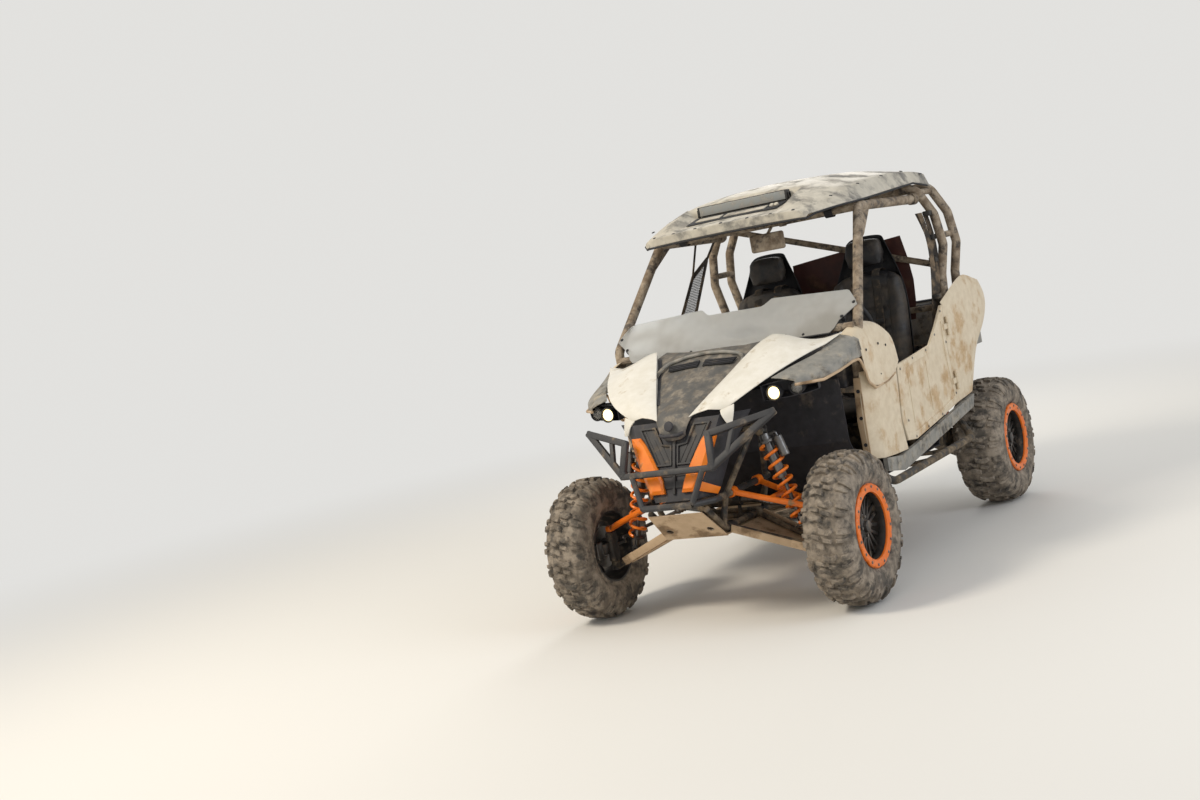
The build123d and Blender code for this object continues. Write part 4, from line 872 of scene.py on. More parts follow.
# %% Roll cage
cage_x_z = [(640, 900), (664, 1160), (676, 1350), (712, 1510), (690, 1680), (608, 1836)]
bm = bmesh.new()
for y, feet in ((680, [(560, 620), (620, 720)]), (895, [(640, 840)])):
    left = [(x, y, z) for x, z in feet + cage_x_z]
    tube(bm, left + [(0, y, 1850)] + [(-x, y, z) for x, y, z in reversed(left)], 25, 70, 20)
tube(bm, [(-560, 680, 620), (560, 680, 620)], 20)
tube(bm, [(676, 680, 1400), (-600, 680, 1822)], 18)
tube(bm, [(-664, 680, 1180), (664, 680, 1180)], 18)
tube(bm, [(-640, 895, 950), (640, 895, 950)], 18)
for side in (-1, 1):
    tube(bm, [(side * 640, 895, 842), (side * 232, 1150, 786), (side * 232, 1150, 889.5)], 18, 40)
    for x, z in ((610, 1812), (652, 1060), (694, 1560)):
        tube(bm, [(side * x, 684, z), (side * x, 892, z)], 18)
    tube(bm, [(side * 620, -590, 454), (side * 652, -600, 1050), (side * 683, -557, 1276),
        (side * 585, -90, 1793), (side * 600, 680, 1780)], 25, 70, 20)
    # clamps that join the roof rails to the hoop
    turned(bm, (side * 600, 610, 1781.5), (0, 1, -0.01), [(0, 25.4), (0, 31), (50, 31), (50, 25.4),
        (0, 25.4)], 20)
    # a gusset in the corner of the windscreen pillar
    plate(bm, [(side * 584, -104, 1790), (side * 584, 70, 1786), (side * 592, 20, 1768),
        (side * 618, -160, 1650), (side * 626, -204, 1636)], (side * 5, 0, 0), 1)
tube(bm, [(-600, -92, 1790), (600, -92, 1790)], 20)
tube(bm, [(-672, -599, 1232), (672, -599, 1232)], 20)
piece(bm, "cage_tubes", "cage_enamel", ["front_cage", "main_hoop", "rear_hoop"])

bm = bmesh.new()
for side in (-1, 1):
    tube(bm, [(side * 650, -640, 545), (side * 728, -590, 460), (side * 728, 560, 460),
        (side * 650, 640, 545)], 20, 70)
    for y in (-480, 0, 300):
        tube(bm, [(side * 728, y, 456), (side * 595, y, 437.3), (side * 446.5, y, 437.3)], 12, 30)
        plate(bm, [(side * 700, y - 30, 449), (side * 700, y + 30, 449), (side * 640, y + 12, 441),
            (side * 640, y - 12, 441)], (0, 0, 4), 1)
piece(bm, "step_bars", "frame_enamel", ["side_bars"])
print("frame, cage and step bars: tube")

# %% [markdown]
# The skid plate is a sheet of tan polyethylene, ramped up at the nose and flat under the belly. Two tow
# holes go through the ramp. A grid of the ramp's size loses the faces inside each hole, and the points left
# round the gap are drawn onto a circle, which needs no boolean and leaves clean edges for the wall and its
# soft rim.

# %% Skid plate
ramp_low, ramp_high = Vector((0, -1265, 408)), Vector((0, -1431, 555))
ramp_length = (ramp_high - ramp_low).length
ramp_up = (ramp_high - ramp_low).normalized()
ramp_down = ramp_up.cross(Vector((1, 0, 0)))
holes = [(-109, 74), (109, 74)]
hole_r = 17
bm = bmesh.new()
grid = bmesh.ops.create_grid(bm, x_segments=66, y_segments=44, size=1)["verts"]
for v in grid:
    t = (v.co.y + 1) / 2
    v.co.x *= 165 - 21 * t
    v.co.y, v.co.z = t * ramp_length, 0
inside = [f for f in bm.faces if any(math.hypot(f.calc_center_median().x - x,
    f.calc_center_median().y - u) < hole_r for x, u in holes)]
bmesh.ops.delete(bm, geom=inside, context="FACES")
for v in bm.verts:
    for x, u in holes:
        away = Vector((v.co.x - x, v.co.y - u, 0))
        if away.length < 1.5 * hole_r and any(e.is_boundary for e in v.link_edges):
            v.co = Vector((x, u, 0)) + away.normalized() * hole_r
for v in bm.verts:
    v.co = ramp_low + Vector((v.co.x, 0, 0)) + ramp_up * v.co.y
push_out(bm, bm.faces[:], -ramp_down * 5)
plate(bm, [(-250, 780, 408), (-250, -760, 408), (-165, -900, 408), (-165, -1264, 408), (165, -1264, 408),
    (165, -900, 408), (250, -760, 408), (250, 780, 408)], (0, 0, 5))
piece(bm, "skid_sheet", "guard_tan", ["skid_plate", "belly_plate"], edge=1.2)

bm = bmesh.new()
for x, y in ((-130, -1230), (130, -1230), (-130, -1000), (130, -1000), (-225, -700), (225, -700),
        (-225, -300), (225, -300), (-225, 100), (225, 100), (-225, 500), (225, 500), (-120, 740),
        (120, 740)):
    bolt(bm, (x, y, 408), (0, 0, -1), 6, 2)
for x, up in ((-70, 22), (70, 22), (-105, 190), (105, 190), (0, 130)):
    bolt(bm, ramp_low + Vector((x, 0, 0)) + ramp_up * up, ramp_down, 6, 2)
for x, up in holes:
    turned(bm, ramp_low + Vector((x, 0, 0)) + ramp_up * up + ramp_down * 1.4, -ramp_down,
        [(0, 17.2), (0, 21.5), (1.2, 22.5), (7, 17.2), (0, 17.2)], 28)
piece(bm, "skid_bolts", "steel")

# %% [markdown]
# The front bumper is a winged frame of moulded beams over steel, wide and chunky, and not plain tube. Each
# beam is a flattened bar along a route. An inner strut ties the wing to the lower bar, and tubes carry it
# down to the skid plate.

# %% Bumpers


def beam(bm, points, wide, deep, bevel=5):
    """A flattened bar through points: plates from corner to corner."""
    for a, b in zip(points, points[1:]):
        a, b = Vector(a), Vector(b)
        along = (b - a).normalized()
        place = frame_along(a, along)
        flat = Vector((0, -1, 0.38)).normalized()
        across = along.cross(flat).normalized()
        flat = across.cross(along)
        turn = Matrix((across, flat, along)).transposed().to_4x4()
        block(bm, (-wide / 2, -deep / 2, -wide * 0.3), (wide / 2, deep / 2, (b - a).length + wide * 0.3),
            bevel, Matrix.Translation(place.translation) @ turn)


bm = bmesh.new()
for side in (-1, 1):
    low, tip, top = (side * 240, -1430, 756), (side * 500, -1252, 950), (side * 222, -1384, 900)
    beam(bm, [low, tip, top, low], 32, 28, 6)
    beam(bm, [(side * 306, -1388, 806), (side * 326, -1334, 914)], 22, 22, 4)
    tube(bm, [(side * 190, -1434, 752), (side * 131, -1484, 601)], 14)
    tube(bm, [(side * 131, -1482, 601), (side * 190, -1380, 596), (side * 190, -1330.3, 595)], 14, 30)
    block(bm, (side * 236 - 16, -1442, 738), (side * 236 + 16, -1408, 776), 5)
beam(bm, [(-236, -1432, 752), (236, -1432, 752)], 28, 24)
tube(bm, [(-131, -1484, 601), (131, -1484, 601)], 15.5)
piece(bm, "bumper_beams", "bumper_enamel", ["front_bumper"])

bm = bmesh.new()
end = Vector((230, 1330, 497.3))
run = Vector((0, 570, 60)).normalized()
tube(bm, [end + run * 0.3, end + run * 60, (300, 1484, 640), (-300, 1484, 640),
    Vector((-230, 1330, 497.3)) + run * 60, Vector((-230, 1330, 497.3)) + run * 0.3], 16, 60)
for side in (-1, 1):
    plate(bm, [(side * 258, 1440, 560), (side * 296, 1476, 628), (side * 240, 1476, 628)], (0, 5, 0), 1)
tube(bm, [(-255, 1436, 560), (255, 1436, 560)], 12)
piece(bm, "rear_bumper_tube", "frame_enamel", ["rear_bumper"])
print("bumpers and skid plate done")

# %% [markdown]
# The body panels are injection moulded, with long curves that end in sharp creases. Each is a coarse grid
# of points, smoothed by subdivision, with a crease on the edges that stay sharp. A solidify modifier gives
# the sheet its wall of a few millimetres, and a small bevel gives its cut edge a highlight. Fewer points
# make a calmer surface.

# %% Panel helpers


def near_line(points, tolerance=6.0):
    """A test that says whether an edge lies along a route of points, for creases."""
    runs = [(Vector(a), Vector(b)) for a, b in zip(points, points[1:])]

    def on_run(p):
        for a, b in runs:
            t = max(0.0, min(1.0, (p - a).dot(b - a) / max((b - a).length_squared, 1e-9)))
            if (p - a.lerp(b, t)).length < tolerance:
                return True
        return False

    return lambda e: on_run(Vector((abs(e.verts[0].co.x), *e.verts[0].co.yz))) and on_run(
        Vector((abs(e.verts[1].co.x), *e.verts[1].co.yz)))


def column(rows, i):
    """The route down one column of a table of rows."""
    return [row[i] for row in rows]


def any_of(*tests):
    """An edge passes if it passes one of the tests."""
    return lambda e: any(t(e) for t in tests)


# %% [markdown]
# The hood's middle is a dark, grained panel. It rises from a blunt nose to a flat back, with two vents
# under a raised brow. A low rim runs along its sides, where it meets the white wings, and a rolled bead
# crosses its nose.

# %% Hood middle
hood_rows = [
    [(0, -1322, 878), (30, -1322, 880), (50, -1316, 886), (64, -1308, 896)],
    [(0, -1336, 892), (32, -1335, 893), (54, -1328, 900), (70, -1314, 914)],
    [(0, -1332, 930), (36, -1330, 930), (62, -1322, 936), (80, -1303, 946)],
    [(0, -1296, 992), (46, -1294, 990), (78, -1290, 984), (96, -1284, 974)],
    [(0, -1184, 1050), (70, -1182, 1047), (120, -1180, 1038), (150, -1178, 1030)],
    [(0, -1052, 1108), (92, -1051, 1104), (170, -1050, 1094), (210, -1050, 1085)],
    [(0, -856, 1226), (130, -855, 1222), (245, -853, 1208), (292, -852, 1200)],
    [(0, -806, 1240), (150, -806, 1238), (270, -806, 1226), (318, -806, 1218)],
    [(0, -768, 1219), (150, -768, 1220), (290, -768, 1222), (334, -768, 1228)],
    [(0, -652, 1219), (160, -652, 1226), (290, -652, 1238), (340, -652, 1246)],
]
bm = bmesh.new()
sheet(bm, hood_rows, mirror=True)
piece(bm, "hood_panel", "hood_plastic", ["hood_center"], slot="dark_plastic", **skin,
    crease=any_of(near_line(column(hood_rows, 3)), near_line(hood_rows[7], 3), near_line(hood_rows[3], 3)))

bm = bmesh.new()
# two vents high on the panel, their openings a near-black sheet of painted shade, with slats, below a raised
# rim
for side in (-1, 1):
    plate(bm, [(side * 14, -948, 1171), (side * 176, -948, 1167), (side * 190, -912, 1188),
        (side * 14, -906, 1197)], (0, -2, 4), 1)
piece(bm, "hood_vent_shade", "vent_painted_shade", slot="dark_plastic")
bm = bmesh.new()
for side in (-1, 1):
    for i in range(3):
        y, z = -942 + 11 * i, 1179 + 6.4 * i
        plate(bm, [(side * 16, y, z), (side * (178 + 3 * i), y, z - 4), (side * (178 + 3 * i), y + 4,
            z - 2), (side * 16, y + 4, z + 2)], (0, -2, 3), 0.5)
# side rims that stand beside the wings
for side in (-1, 1):
    rim = [(side * (x - 8), y, z + 3) for x, y, z in ((150, -1178, 1030), (210, -1050, 1085),
        (292, -852, 1200), (318, -806, 1218))]
    for a, b in zip(rim, rim[1:]):
        a, b = Vector(a), Vector(b)
        plate(bm, [a, b, b + Vector((-side * 22, 0, 2)), a + Vector((-side * 22, 0, 2))], (0, 0, 5), 2)
# a rolled bead across the nose, with a slot below it
tube(bm, rounded([(-62, -1326, 912), (-40, -1341, 906), (40, -1341, 906), (62, -1326, 912)], 20), 9)
turned(bm, (0, -1338, 950), (0, -1, 0.25), [(0, 24), (4, 24), (8, 21), (9, 12), (9, 0.01)], 32)
piece(bm, "hood_trim", "dark_plastic")

bm = bmesh.new()
brow = [(-236, -990, 1145), (-230, -930, 1180), (-196, -886, 1205), (-100, -868, 1222), (0, -862, 1228),
    (100, -868, 1222), (196, -886, 1205), (230, -930, 1180), (236, -990, 1145)]
tube(bm, rounded(brow, 60), 9)
piece(bm, "hood_rim", "body_grey")

# %% [markdown]
# A white wing lies on each side, like a folded leaf: its inner edge stands up from the middle panel, a
# ridge runs along it, and the outer part drops to the lamps. The nose ends in a prong beside the grille.
# The creases are sharp.

# %% Hood wings
wing_rows = [
    [(86, -1291, 978), (118, -1283, 990), (180, -1266, 998), (250, -1243, 984)],
    [(138, -1182, 1050), (190, -1184, 1066), (264, -1190, 1072), (350, -1207, 1040)],
    [(198, -1052, 1123), (255, -1054, 1140), (342, -1062, 1136), (440, -1122, 1096)],
    [(282, -855, 1243), (340, -860, 1246), (424, -880, 1228), (552, -930, 1160)],
    [(328, -772, 1263), (384, -770, 1256), (456, -775, 1228), (606, -812, 1182)],
    [(416, -737, 1222), (448, -730, 1216), (520, -714, 1190), (655, -712, 1218)],
]
bm = bmesh.new()
sheet(bm, wing_rows)
sheet(bm, [[(x - 1, y, z + 0.5) for x, y, z in ((86, -1291, 976), (138, -1182, 1032), (198, -1052, 1088),
    (282, -855, 1203), (328, -772, 1231))], [row[0] for row in wing_rows[:5]]])
sheet(bm, [[(232, -1250, 985), (262, -1241, 994), (296, -1226, 1004)], [(246, -1280, 968),
    (272, -1266, 968), (300, -1246, 968)], [(268, -1273, 921), (280, -1271, 919), (292, -1267, 921)]])
twin(bm)
piece(bm, "hood_leaves", "body_white", ["hood_wings"], **skin, crease=any_of(near_line(column(wing_rows,
    0)), near_line(column(wing_rows, 2), 4), near_line(column(wing_rows, 3)), near_line(wing_rows[4], 4),
    near_line(wing_rows[0], 4)))

# %% [markdown]
# The fender goes on from the wing over the front wheel, with a rolled lip along the arch, and mud has
# turned it grey. A pale shoulder swells behind it by the door. Below that the side panel closes the wheel
# well: a pale outer face, a crease, and an inner flange that the wheel throws mud at.

# %% Fenders and side panels
fender_rows = [
    [(452, -1120, 1088), (510, -1112, 1076), (556, -1102, 1058), (560, -1102, 1040)],
    [(520, -1002, 1124), (600, -1002, 1102), (654, -1002, 1068), (658, -1000, 1040)],
    [(586, -880, 1148), (650, -884, 1132), (688, -888, 1102), (690, -884, 1058)],
    [(604, -792, 1174), (664, -780, 1158), (706, -770, 1132), (709, -769, 1080)],
    [(636, -700, 1206), (684, -684, 1198), (713, -668, 1170), (717, -660, 1090)],
]
bm = bmesh.new()
sheet(bm, fender_rows)
twin(bm)
piece(bm, "fender_skins", "body_grey", ["fenders"], **skin, crease=any_of(near_line(column(fender_rows, 2),
    3), near_line(fender_rows[4], 3)))

shoulder_rows = [
    [(640, -704, 1208), (686, -690, 1196), (713, -676, 1160), (719, -668, 1070), (720, -660, 966)],
    [(644, -606, 1238), (682, -604, 1234), (710, -600, 1200), (722, -592, 1090), (723, -580, 922)],
    [(646, -452, 1244), (686, -452, 1240), (712, -450, 1204), (723, -440, 1090), (724, -430, 930)],
    [(646, -350, 1222), (686, -346, 1214), (711, -342, 1178), (722, -332, 1080), (723, -318, 954)],
    [(652, -280, 1176), (690, -274, 1166), (711, -266, 1134), (718, -256, 1076), (718, -244, 1004)],
]
bm = bmesh.new()
sheet(bm, shoulder_rows)
twin(bm)
piece(bm, "shoulder_skins", "door_white", slot="body_white", **skin)

bm = bmesh.new()
lip = [(560, -1104, 1040), (659, -1001, 1036), (691, -884, 1056), (710, -769, 1078), (716, -700, 1082),
    (721, -664, 1010), (722, -656, 963), (724, -582, 921)]
for side in (-1, 1):
    tube(bm, [(side * (x - 3), y, z) for x, y, z in rounded(lip, 40)], 7, sides=12)
    tube(bm, [(side * (x - 3), y, z) for x, y, z in rounded([(724, -582, 921), (725, -430, 929),
        (724, -318, 953)], 40)], 5, sides=12)
    # the flange that shields the panel's edge from the wheel, with its screws
    plate(bm, [(side * 626, -646, 592), (side * 664, -651, 592), (side * 668, -651, 780),
        (side * 674, -648, 985), (side * 636, -640, 985), (side * 622, -646, 780)], (0, 4, 0), 1)
piece(bm, "arch_lips", "guard_tan", slot="body_grey")
bm = bmesh.new()
for side in (-1, 1):
    for x, z in ((645, 660), (646, 790), (654, 920)):
        turned(bm, (side * x, -646, z), (0, -1, 0), [(0, 0.01), (4.4, 0.01), (4.6, 6), (5.4, 9), (0, 9)],
            16)
    for x, y, z in ((722, -620, 1110), (724, -470, 1120), (723, -380, 1100), (724, -500, 975)):
        bolt(bm, (side * (x - 2), y, z), (side, 0, 0), 4.5, 2)
piece(bm, "panel_screws", "grip_black", slot="steel")

side_rows = [
    [(655, -650, 590), (684, -622, 586), (708, -590, 580), (712, -470, 572), (713, -302, 566)],
    [(655, -652, 700), (684, -616, 700), (709, -575, 700), (715, -470, 700), (715, -334, 706)],
    [(655, -652, 760), (684, -612, 760), (709, -560, 760), (715, -460, 760), (715, -326, 760)],
    [(660, -650, 900), (686, -626, 900), (711, -590, 900), (718, -470, 900), (717, -300, 900)],
    [(672, -640, 1010), (694, -622, 1010), (713, -600, 1014), (718, -470, 1010), (716, -288, 1000)],
]
bm = bmesh.new()
sheet(bm, side_rows)
twin(bm)
piece(bm, "side_skins", "door_white", ["side_panels"], slot="body_white", **skin,
    crease=any_of(near_line(column(side_rows, 2), 3)))

# %% [markdown]
# The half door is a pressed shell with a deep panel set into it. Two outlines with as many points each are
# bridged, which makes the flat border, and the inner one is pushed in for the recess. The quarter panel
# behind it bulges over the rear wheel, with a crease along its shoulder. A hinge pin runs through both.

# %% Doors and quarter panels
door_outline = [(-318, 716), (-268, 985), (-40, 999), (214, 1018), (340, 1098), (474, 1197), (488, 1197),
    (460, 940), (500, 669), (220, 634), (-170, 592), (-288, 606)]
door_recess = [(-280, 722), (-236, 948), (-40, 962), (214, 978), (326, 1050), (420, 1116), (430, 1116),
    (418, 940), (448, 706), (215, 670), (-158, 630), (-258, 642)]


def door_shape(side):
    """A door slab with its recess, on one side of the car."""
    bm = bmesh.new()
    rings = []
    for outline, x in ((door_outline, 701), (door_outline, 714), (door_outline, 717), (door_recess, 718),
            (door_recess, 711)):
        shrink = 3 if x == 717 else 0
        verts, edges = closed_line(bm, [(side * x, y + (shrink if y < 90 else -shrink),
            z + (shrink if z < 800 else -shrink)) for y, z in outline])
        rings.append(edges)
        if x in (701, 711):
            bm.faces.new(verts)
    for low, high in zip(rings, rings[1:]):
        bmesh.ops.bridge_loops(bm, edges=low + high)
    # two pressed lines that stiffen the panel
    for y, low, high in ((-150, 672, 926), (120, 690, 944)):
        plate(bm, [(side * 710.5, y - 7, low), (side * 710.5, y + 7, low), (side * 710.5, y + 17, high),
            (side * 710.5, y + 3, high)], (side * 3, 0, 0), 1.4)
    for foot in (735, 1030):
        pin(bm, (side * 728, 492, foot + 35), (0, 0, 1), 32, 9, 20)
        block(bm, (side * 716, 440, foot + 36), (side * 728, 492, foot + 66), 2)
    return bm


for side, name in ((1, "left"), (-1, "right")):
    piece(door_shape(side), f"door_shell_{name}", "door_white", [f"door_{name}"], f"door_{name}",
        "body_white", edge=2.0, angle=28)
    bm = bmesh.new()
    # the pull strap on the inside, the latch at the front edge and the screws round the border
    block(bm, (side * 690, -262, 880), (side * 701, -196, 930), 3)
    tube(bm, [(side * 700, -60, 900), (side * 686, -40, 896), (side * 686, 90, 906),
        (side * 700, 110, 912)], 5, 12)
    for y, z in ((-250, 700), (-244, 960), (-60, 988), (140, 1000), (300, 1060), (440, 1168), (450, 1000),
            (470, 720), (220, 648), (0, 624), (-180, 606)):
        bolt(bm, (side * 718.5, y, z), (side, 0, 0), 4.5, 2)
    piece(bm, f"door_fittings_{name}", "steel", (), f"door_{name}")

quarter_rows = [
    [(710, 510, 668), (712, 600, 674), (713, 680, 680), (712, 739, 686)],
    [(712, 490, 800), (720, 600, 800), (724, 712, 806), (716, 822, 812)],
    [(713, 468, 940), (724, 620, 930), (733, 790, 934), (722, 912, 941)],
    [(714, 480, 1050), (725, 640, 1040), (735, 850, 1040), (732, 1050, 1018)],
    [(714, 492, 1140), (722, 660, 1140), (730, 880, 1150), (730, 1190, 1160)],
    [(712, 500, 1196), (717, 690, 1256), (724, 900, 1274), (722, 1100, 1270)],
    [(704, 504, 1212), (705, 700, 1276), (705, 889, 1332), (705, 1000, 1306)],
]
bm = bmesh.new()
sheet(bm, quarter_rows)
for foot in (735, 1030):
    for low in (foot, foot + 68):
        pin(bm, (728, 492, low), (0, 0, 1), 34, 9, 20)
        plate(bm, [(714, 492, low + 3), (728, 484, low + 3), (728, 500, low + 3), (719, 560, low + 3),
            (713, 560, low + 3)], (0, 0, 28), 1.5)
twin(bm)
piece(bm, "quarter_skins", "door_white", ["quarter_panels"], slot="body_white", **skin,
    crease=any_of(near_line(quarter_rows[5], 3), near_line(column(quarter_rows, 1)[:4], 3),
    lambda e: abs(e.verts[0].co.x) > 718.5 and e.verts[0].co.y < 502 and e.verts[1].co.y < 502))
print("body panels done")

# %% [markdown]
# The nose fascia is a black moulding with two grille windows. Each window is drawn as one face on the
# sloping front, and the ring of faces round it is bridged from the outline, so there is no boolean. A
# raised frame is an inset of the same face, and the slats are thin bevelled bars that lean outwards. Behind
# them lies black mesh.

# %% Nose fascia
face_foot = Vector((0, -1408, 611.3))
face_up = Vector((0, 136, 354.7)).normalized()
face_out = Vector((1, 0, 0)).cross(face_up)
window = [(14, 168), (98, 168), (192, 357), (103, 357), (64, 272), (14, 264)]
surround = [(0, 0), (106, 0), (236, 379.9), (60, 379.9), (0, 379.9), (0, 262)]


def on_face(x, up, out=0.0):
    """A point of the sloping front: across, up the slope and out from it."""
    return face_foot + Vector((x, 0, 0)) + face_up * up + face_out * out


bm = bmesh.new()
rings = [[bm.verts.new(on_face(x, up)) for x, up in outline] for outline in (surround, window)]
for i in range(len(window)):
    bm.faces.new([rings[0][i - 1], rings[0][i], rings[1][i], rings[1][i - 1]])
sheet(bm, [[on_face(106, 0), (140, -1352, 611.3), (172, -1300, 611.3)], [on_face(171, 190),
    (206, -1290, 789), (238, -1236, 789)], [on_face(236, 379.9), (290, -1232, 966), (352, -1186, 966)]])
twin(bm)
bmesh.ops.remove_doubles(bm, verts=bm.verts, dist=0.01)
push_out(bm, bm.faces[:], (0, 11, 0))
piece(bm, "fascia_shell", "dark_plastic", ["front_fascia"], edge=2.5)

bm = bmesh.new()
for side in (-1, 1):
    # the raised frame round each window
    faces = plate(bm, [on_face(side * x, up, 0.5) for x, up in window], face_out * 9)
    front = max(faces, key=lambda f: (f.calc_center_median() - face_foot).dot(face_out))
    bmesh.ops.inset_region(bm, faces=[front], thickness=8, depth=0, use_even_offset=True)
    bmesh.ops.inset_region(bm, faces=[front], thickness=2, depth=-7, use_even_offset=True)
    bmesh.ops.delete(bm, geom=[front], context="FACES_ONLY")
    # slats that lean outwards as they rise
    for x, low, high in ((-8, 176, 258), (20, 176, 262), (48, 176, 300), (76, 176, 347), (104, 204, 350),
            (132, 262, 351), (158, 312, 352)):
        lean = (high - low) * 0.5
        if x < 14 - lean * 0.5:
            continue
        a, b = max(x, 20), min(x + lean, 180)
        plate(bm, [on_face(side * a, low, -9), on_face(side * (a + 7), low, -9),
            on_face(side * (b + 7), high, -9), on_face(side * b, high, -9)], face_out * 12, 1.5)
# a rib down the middle, and a lower ledge
plate(bm, [on_face(-7, 30, 0), on_face(7, 30, 0), on_face(9, 366, 0), on_face(-9, 366, 0)], face_out * 12,
    3)
plate(bm, [on_face(-92, 60, 0), on_face(92, 60, 0), on_face(102, 92, 0), on_face(-102, 92, 0)],
    face_out * 7, 3)
plate(bm, [on_face(-98, 116, 0), on_face(98, 116, 0), on_face(100, 134, 0), on_face(-100, 134, 0)],
    face_out * 5, 2)
piece(bm, "grille", "bumper_enamel", slot="dark_plastic")

bm = bmesh.new()
for side in (-1, 1):
    bm.faces.new([bm.verts.new(on_face(side * x, up, -9)) for x, up in window])
    for x in range(-60, 190, 7):
        low, high = on_face(side * x, 150, -8), on_face(side * (x + 98), 372, -8)
        tube(bm, [low.lerp(high, 0.06), low.lerp(high, 0.94)], 0.9, sides=4)
for v in bm.verts:
    # trim the mesh to the opening
    local = v.co - face_foot
    up = min(max(local.dot(face_up), 168), 357)
    side = 1 if v.co.x > 0 else -1
    inner = 14 if up < 264 else 14 + (up - 264) * 0.95
    outer = 98 + (up - 168) * 0.5
    v.co = on_face(side * min(max(abs(v.co.x), inner), outer), up, local.dot(face_out))
piece(bm, "grille_mesh", "frame_enamel", slot="dark_plastic")

# %% [markdown]
# The orange accents are glossy blades on each side of the grille. Each is an outline pushed out to a plate,
# and its front face is inset and lifted to one side, which leaves a wide bright facet and a narrow dark
# one.

# %% Orange accents
bm = bmesh.new()
blade = [(36, 46, 120), (92, 58, 150), (130, 74, 168), (180, 98, 188), (230, 124, 207), (275, 150, 222),
    (312, 182, 230)]
for side in (-1, 1):
    outline = [on_face(side * outer, up, 0.5) for up, inner, outer in blade]
    outline += [on_face(side * inner, up, 0.5) for up, inner, outer in reversed(blade)]
    faces = plate(bm, outline, face_out * 15)
    front = max(faces, key=lambda f: (f.calc_center_median() - face_foot).dot(face_out))
    bmesh.ops.inset_region(bm, faces=[front], thickness=14, depth=12, use_even_offset=True)
    bmesh.ops.translate(bm, vec=(side * -5, 0, 0), verts=front.verts)
    # its foot wraps round the corner of the fascia
    plate(bm, [on_face(side * 104, 44, 2), on_face(side * 122, 88, 2), (side * 186, -1296, 640),
        (side * 172, -1310, 612)], (side * 9, -9, 0), 2)
piece(bm, "accent_blades", "accent_orange", ["bumper_accents"], edge=1.5, angle=25)

# %% [markdown]
# Two round lamps sit in a black pod on each side. A lamp is a turned bowl behind a domed lens, with a small
# lit core. The inner lamp is switched on, so its lens glows, and the outer one shows its dark bowl and
# chrome ring.

# %% Lamps
lamps_at = [(455, -1102, 1018, True), (549, -1050, 1026, False)]
bm = bmesh.new()
for side in (-1, 1):
    rim = [(392, -1128, 1058), (470, -1096, 1066), (560, -1046, 1066), (622, -1004, 1062),
        (624, -1000, 996), (560, -1040, 986), (500, -1074, 984), (396, -1124, 984)]
    back = [(398, -1066, 1060), (470, -1030, 1066), (560, -980, 1066), (614, -958, 1062), (614, -958, 1002),
        (560, -976, 990), (500, -1008, 988), (400, -1060, 988)]
    loops = []
    for outline in (rim, back):
        verts, edges = closed_line(bm, [(side * x, y, z) for x, y, z in outline])
        loops += edges
    bm.faces.new(verts)
    bmesh.ops.bridge_loops(bm, edges=loops)
    block(bm, (side * 548, -1018, 1062), (side * 592, -982, 1088), 2)
piece(bm, "lamp_shells", "dark_plastic", ["lamp_pods"], wall=4, edge=1.5)

bm = bmesh.new()
for side in (-1, 1):
    for x, y, z, lit in lamps_at:
        turned(bm, (side * x, y + 24, z), (0, -1, 0), [(0, 0.01), (0, 24), (6, 30), (42, 33), (50, 37),
            (54, 37), (56, 34), (50, 30.5), (46, 30)], 36)
    sheet(bm, [[(side * 400, -1112, 990), (side * 504, -1060, 990), (side * 616, -1000, 1000)],
        [(side * 402, -1074, 1012), (side * 504, -1020, 1012), (side * 612, -968, 1018)]])
piece(bm, "lamp_bezels", "grip_black", slot="dark_plastic")

bm = bmesh.new()
for side in (-1, 1):
    for x, y, z, lit in lamps_at:
        turned(bm, (side * x, y + 24, z), (0, -1, 0), [(10, 0.01), (12, 6), (16, 14), (26, 22), (40, 28),
            (46, 30)], 36)
        turned(bm, (side * x, y + 24, z), (0, -1, 0), [(45, 28.5), (47, 30), (49, 29)], 36)
piece(bm, "lamp_bowls", "steel", slot="lamp_glass")

for name, wanted, paint in (("lamp_lenses_lit", True, "lamp_lit"), ("lamp_lenses_dark", False,
        "lens_clear")):
    bm = bmesh.new()
    for side in (-1, 1):
        for x, y, z, lit in lamps_at:
            if lit == wanted:
                turned(bm, (side * x, y + 24, z), (0, -1, 0), [(44, 29.5), (47, 29), (51, 24), (54, 15),
                    (55, 0.01)], 36)
    piece(bm, name, paint, ["headlamps"] if wanted else (), slot="lamp_glass", angle=60)

# %% [markdown]
# The roof is one thermoformed shell. Its brow is a scoop: the lip lies low and the floor rises back to the
# lamp bar, with a step at each side. The table of rows runs from the lip to the heel, and creases keep the
# lip, the step and the eaves sharp, while subdivision rounds the crown.

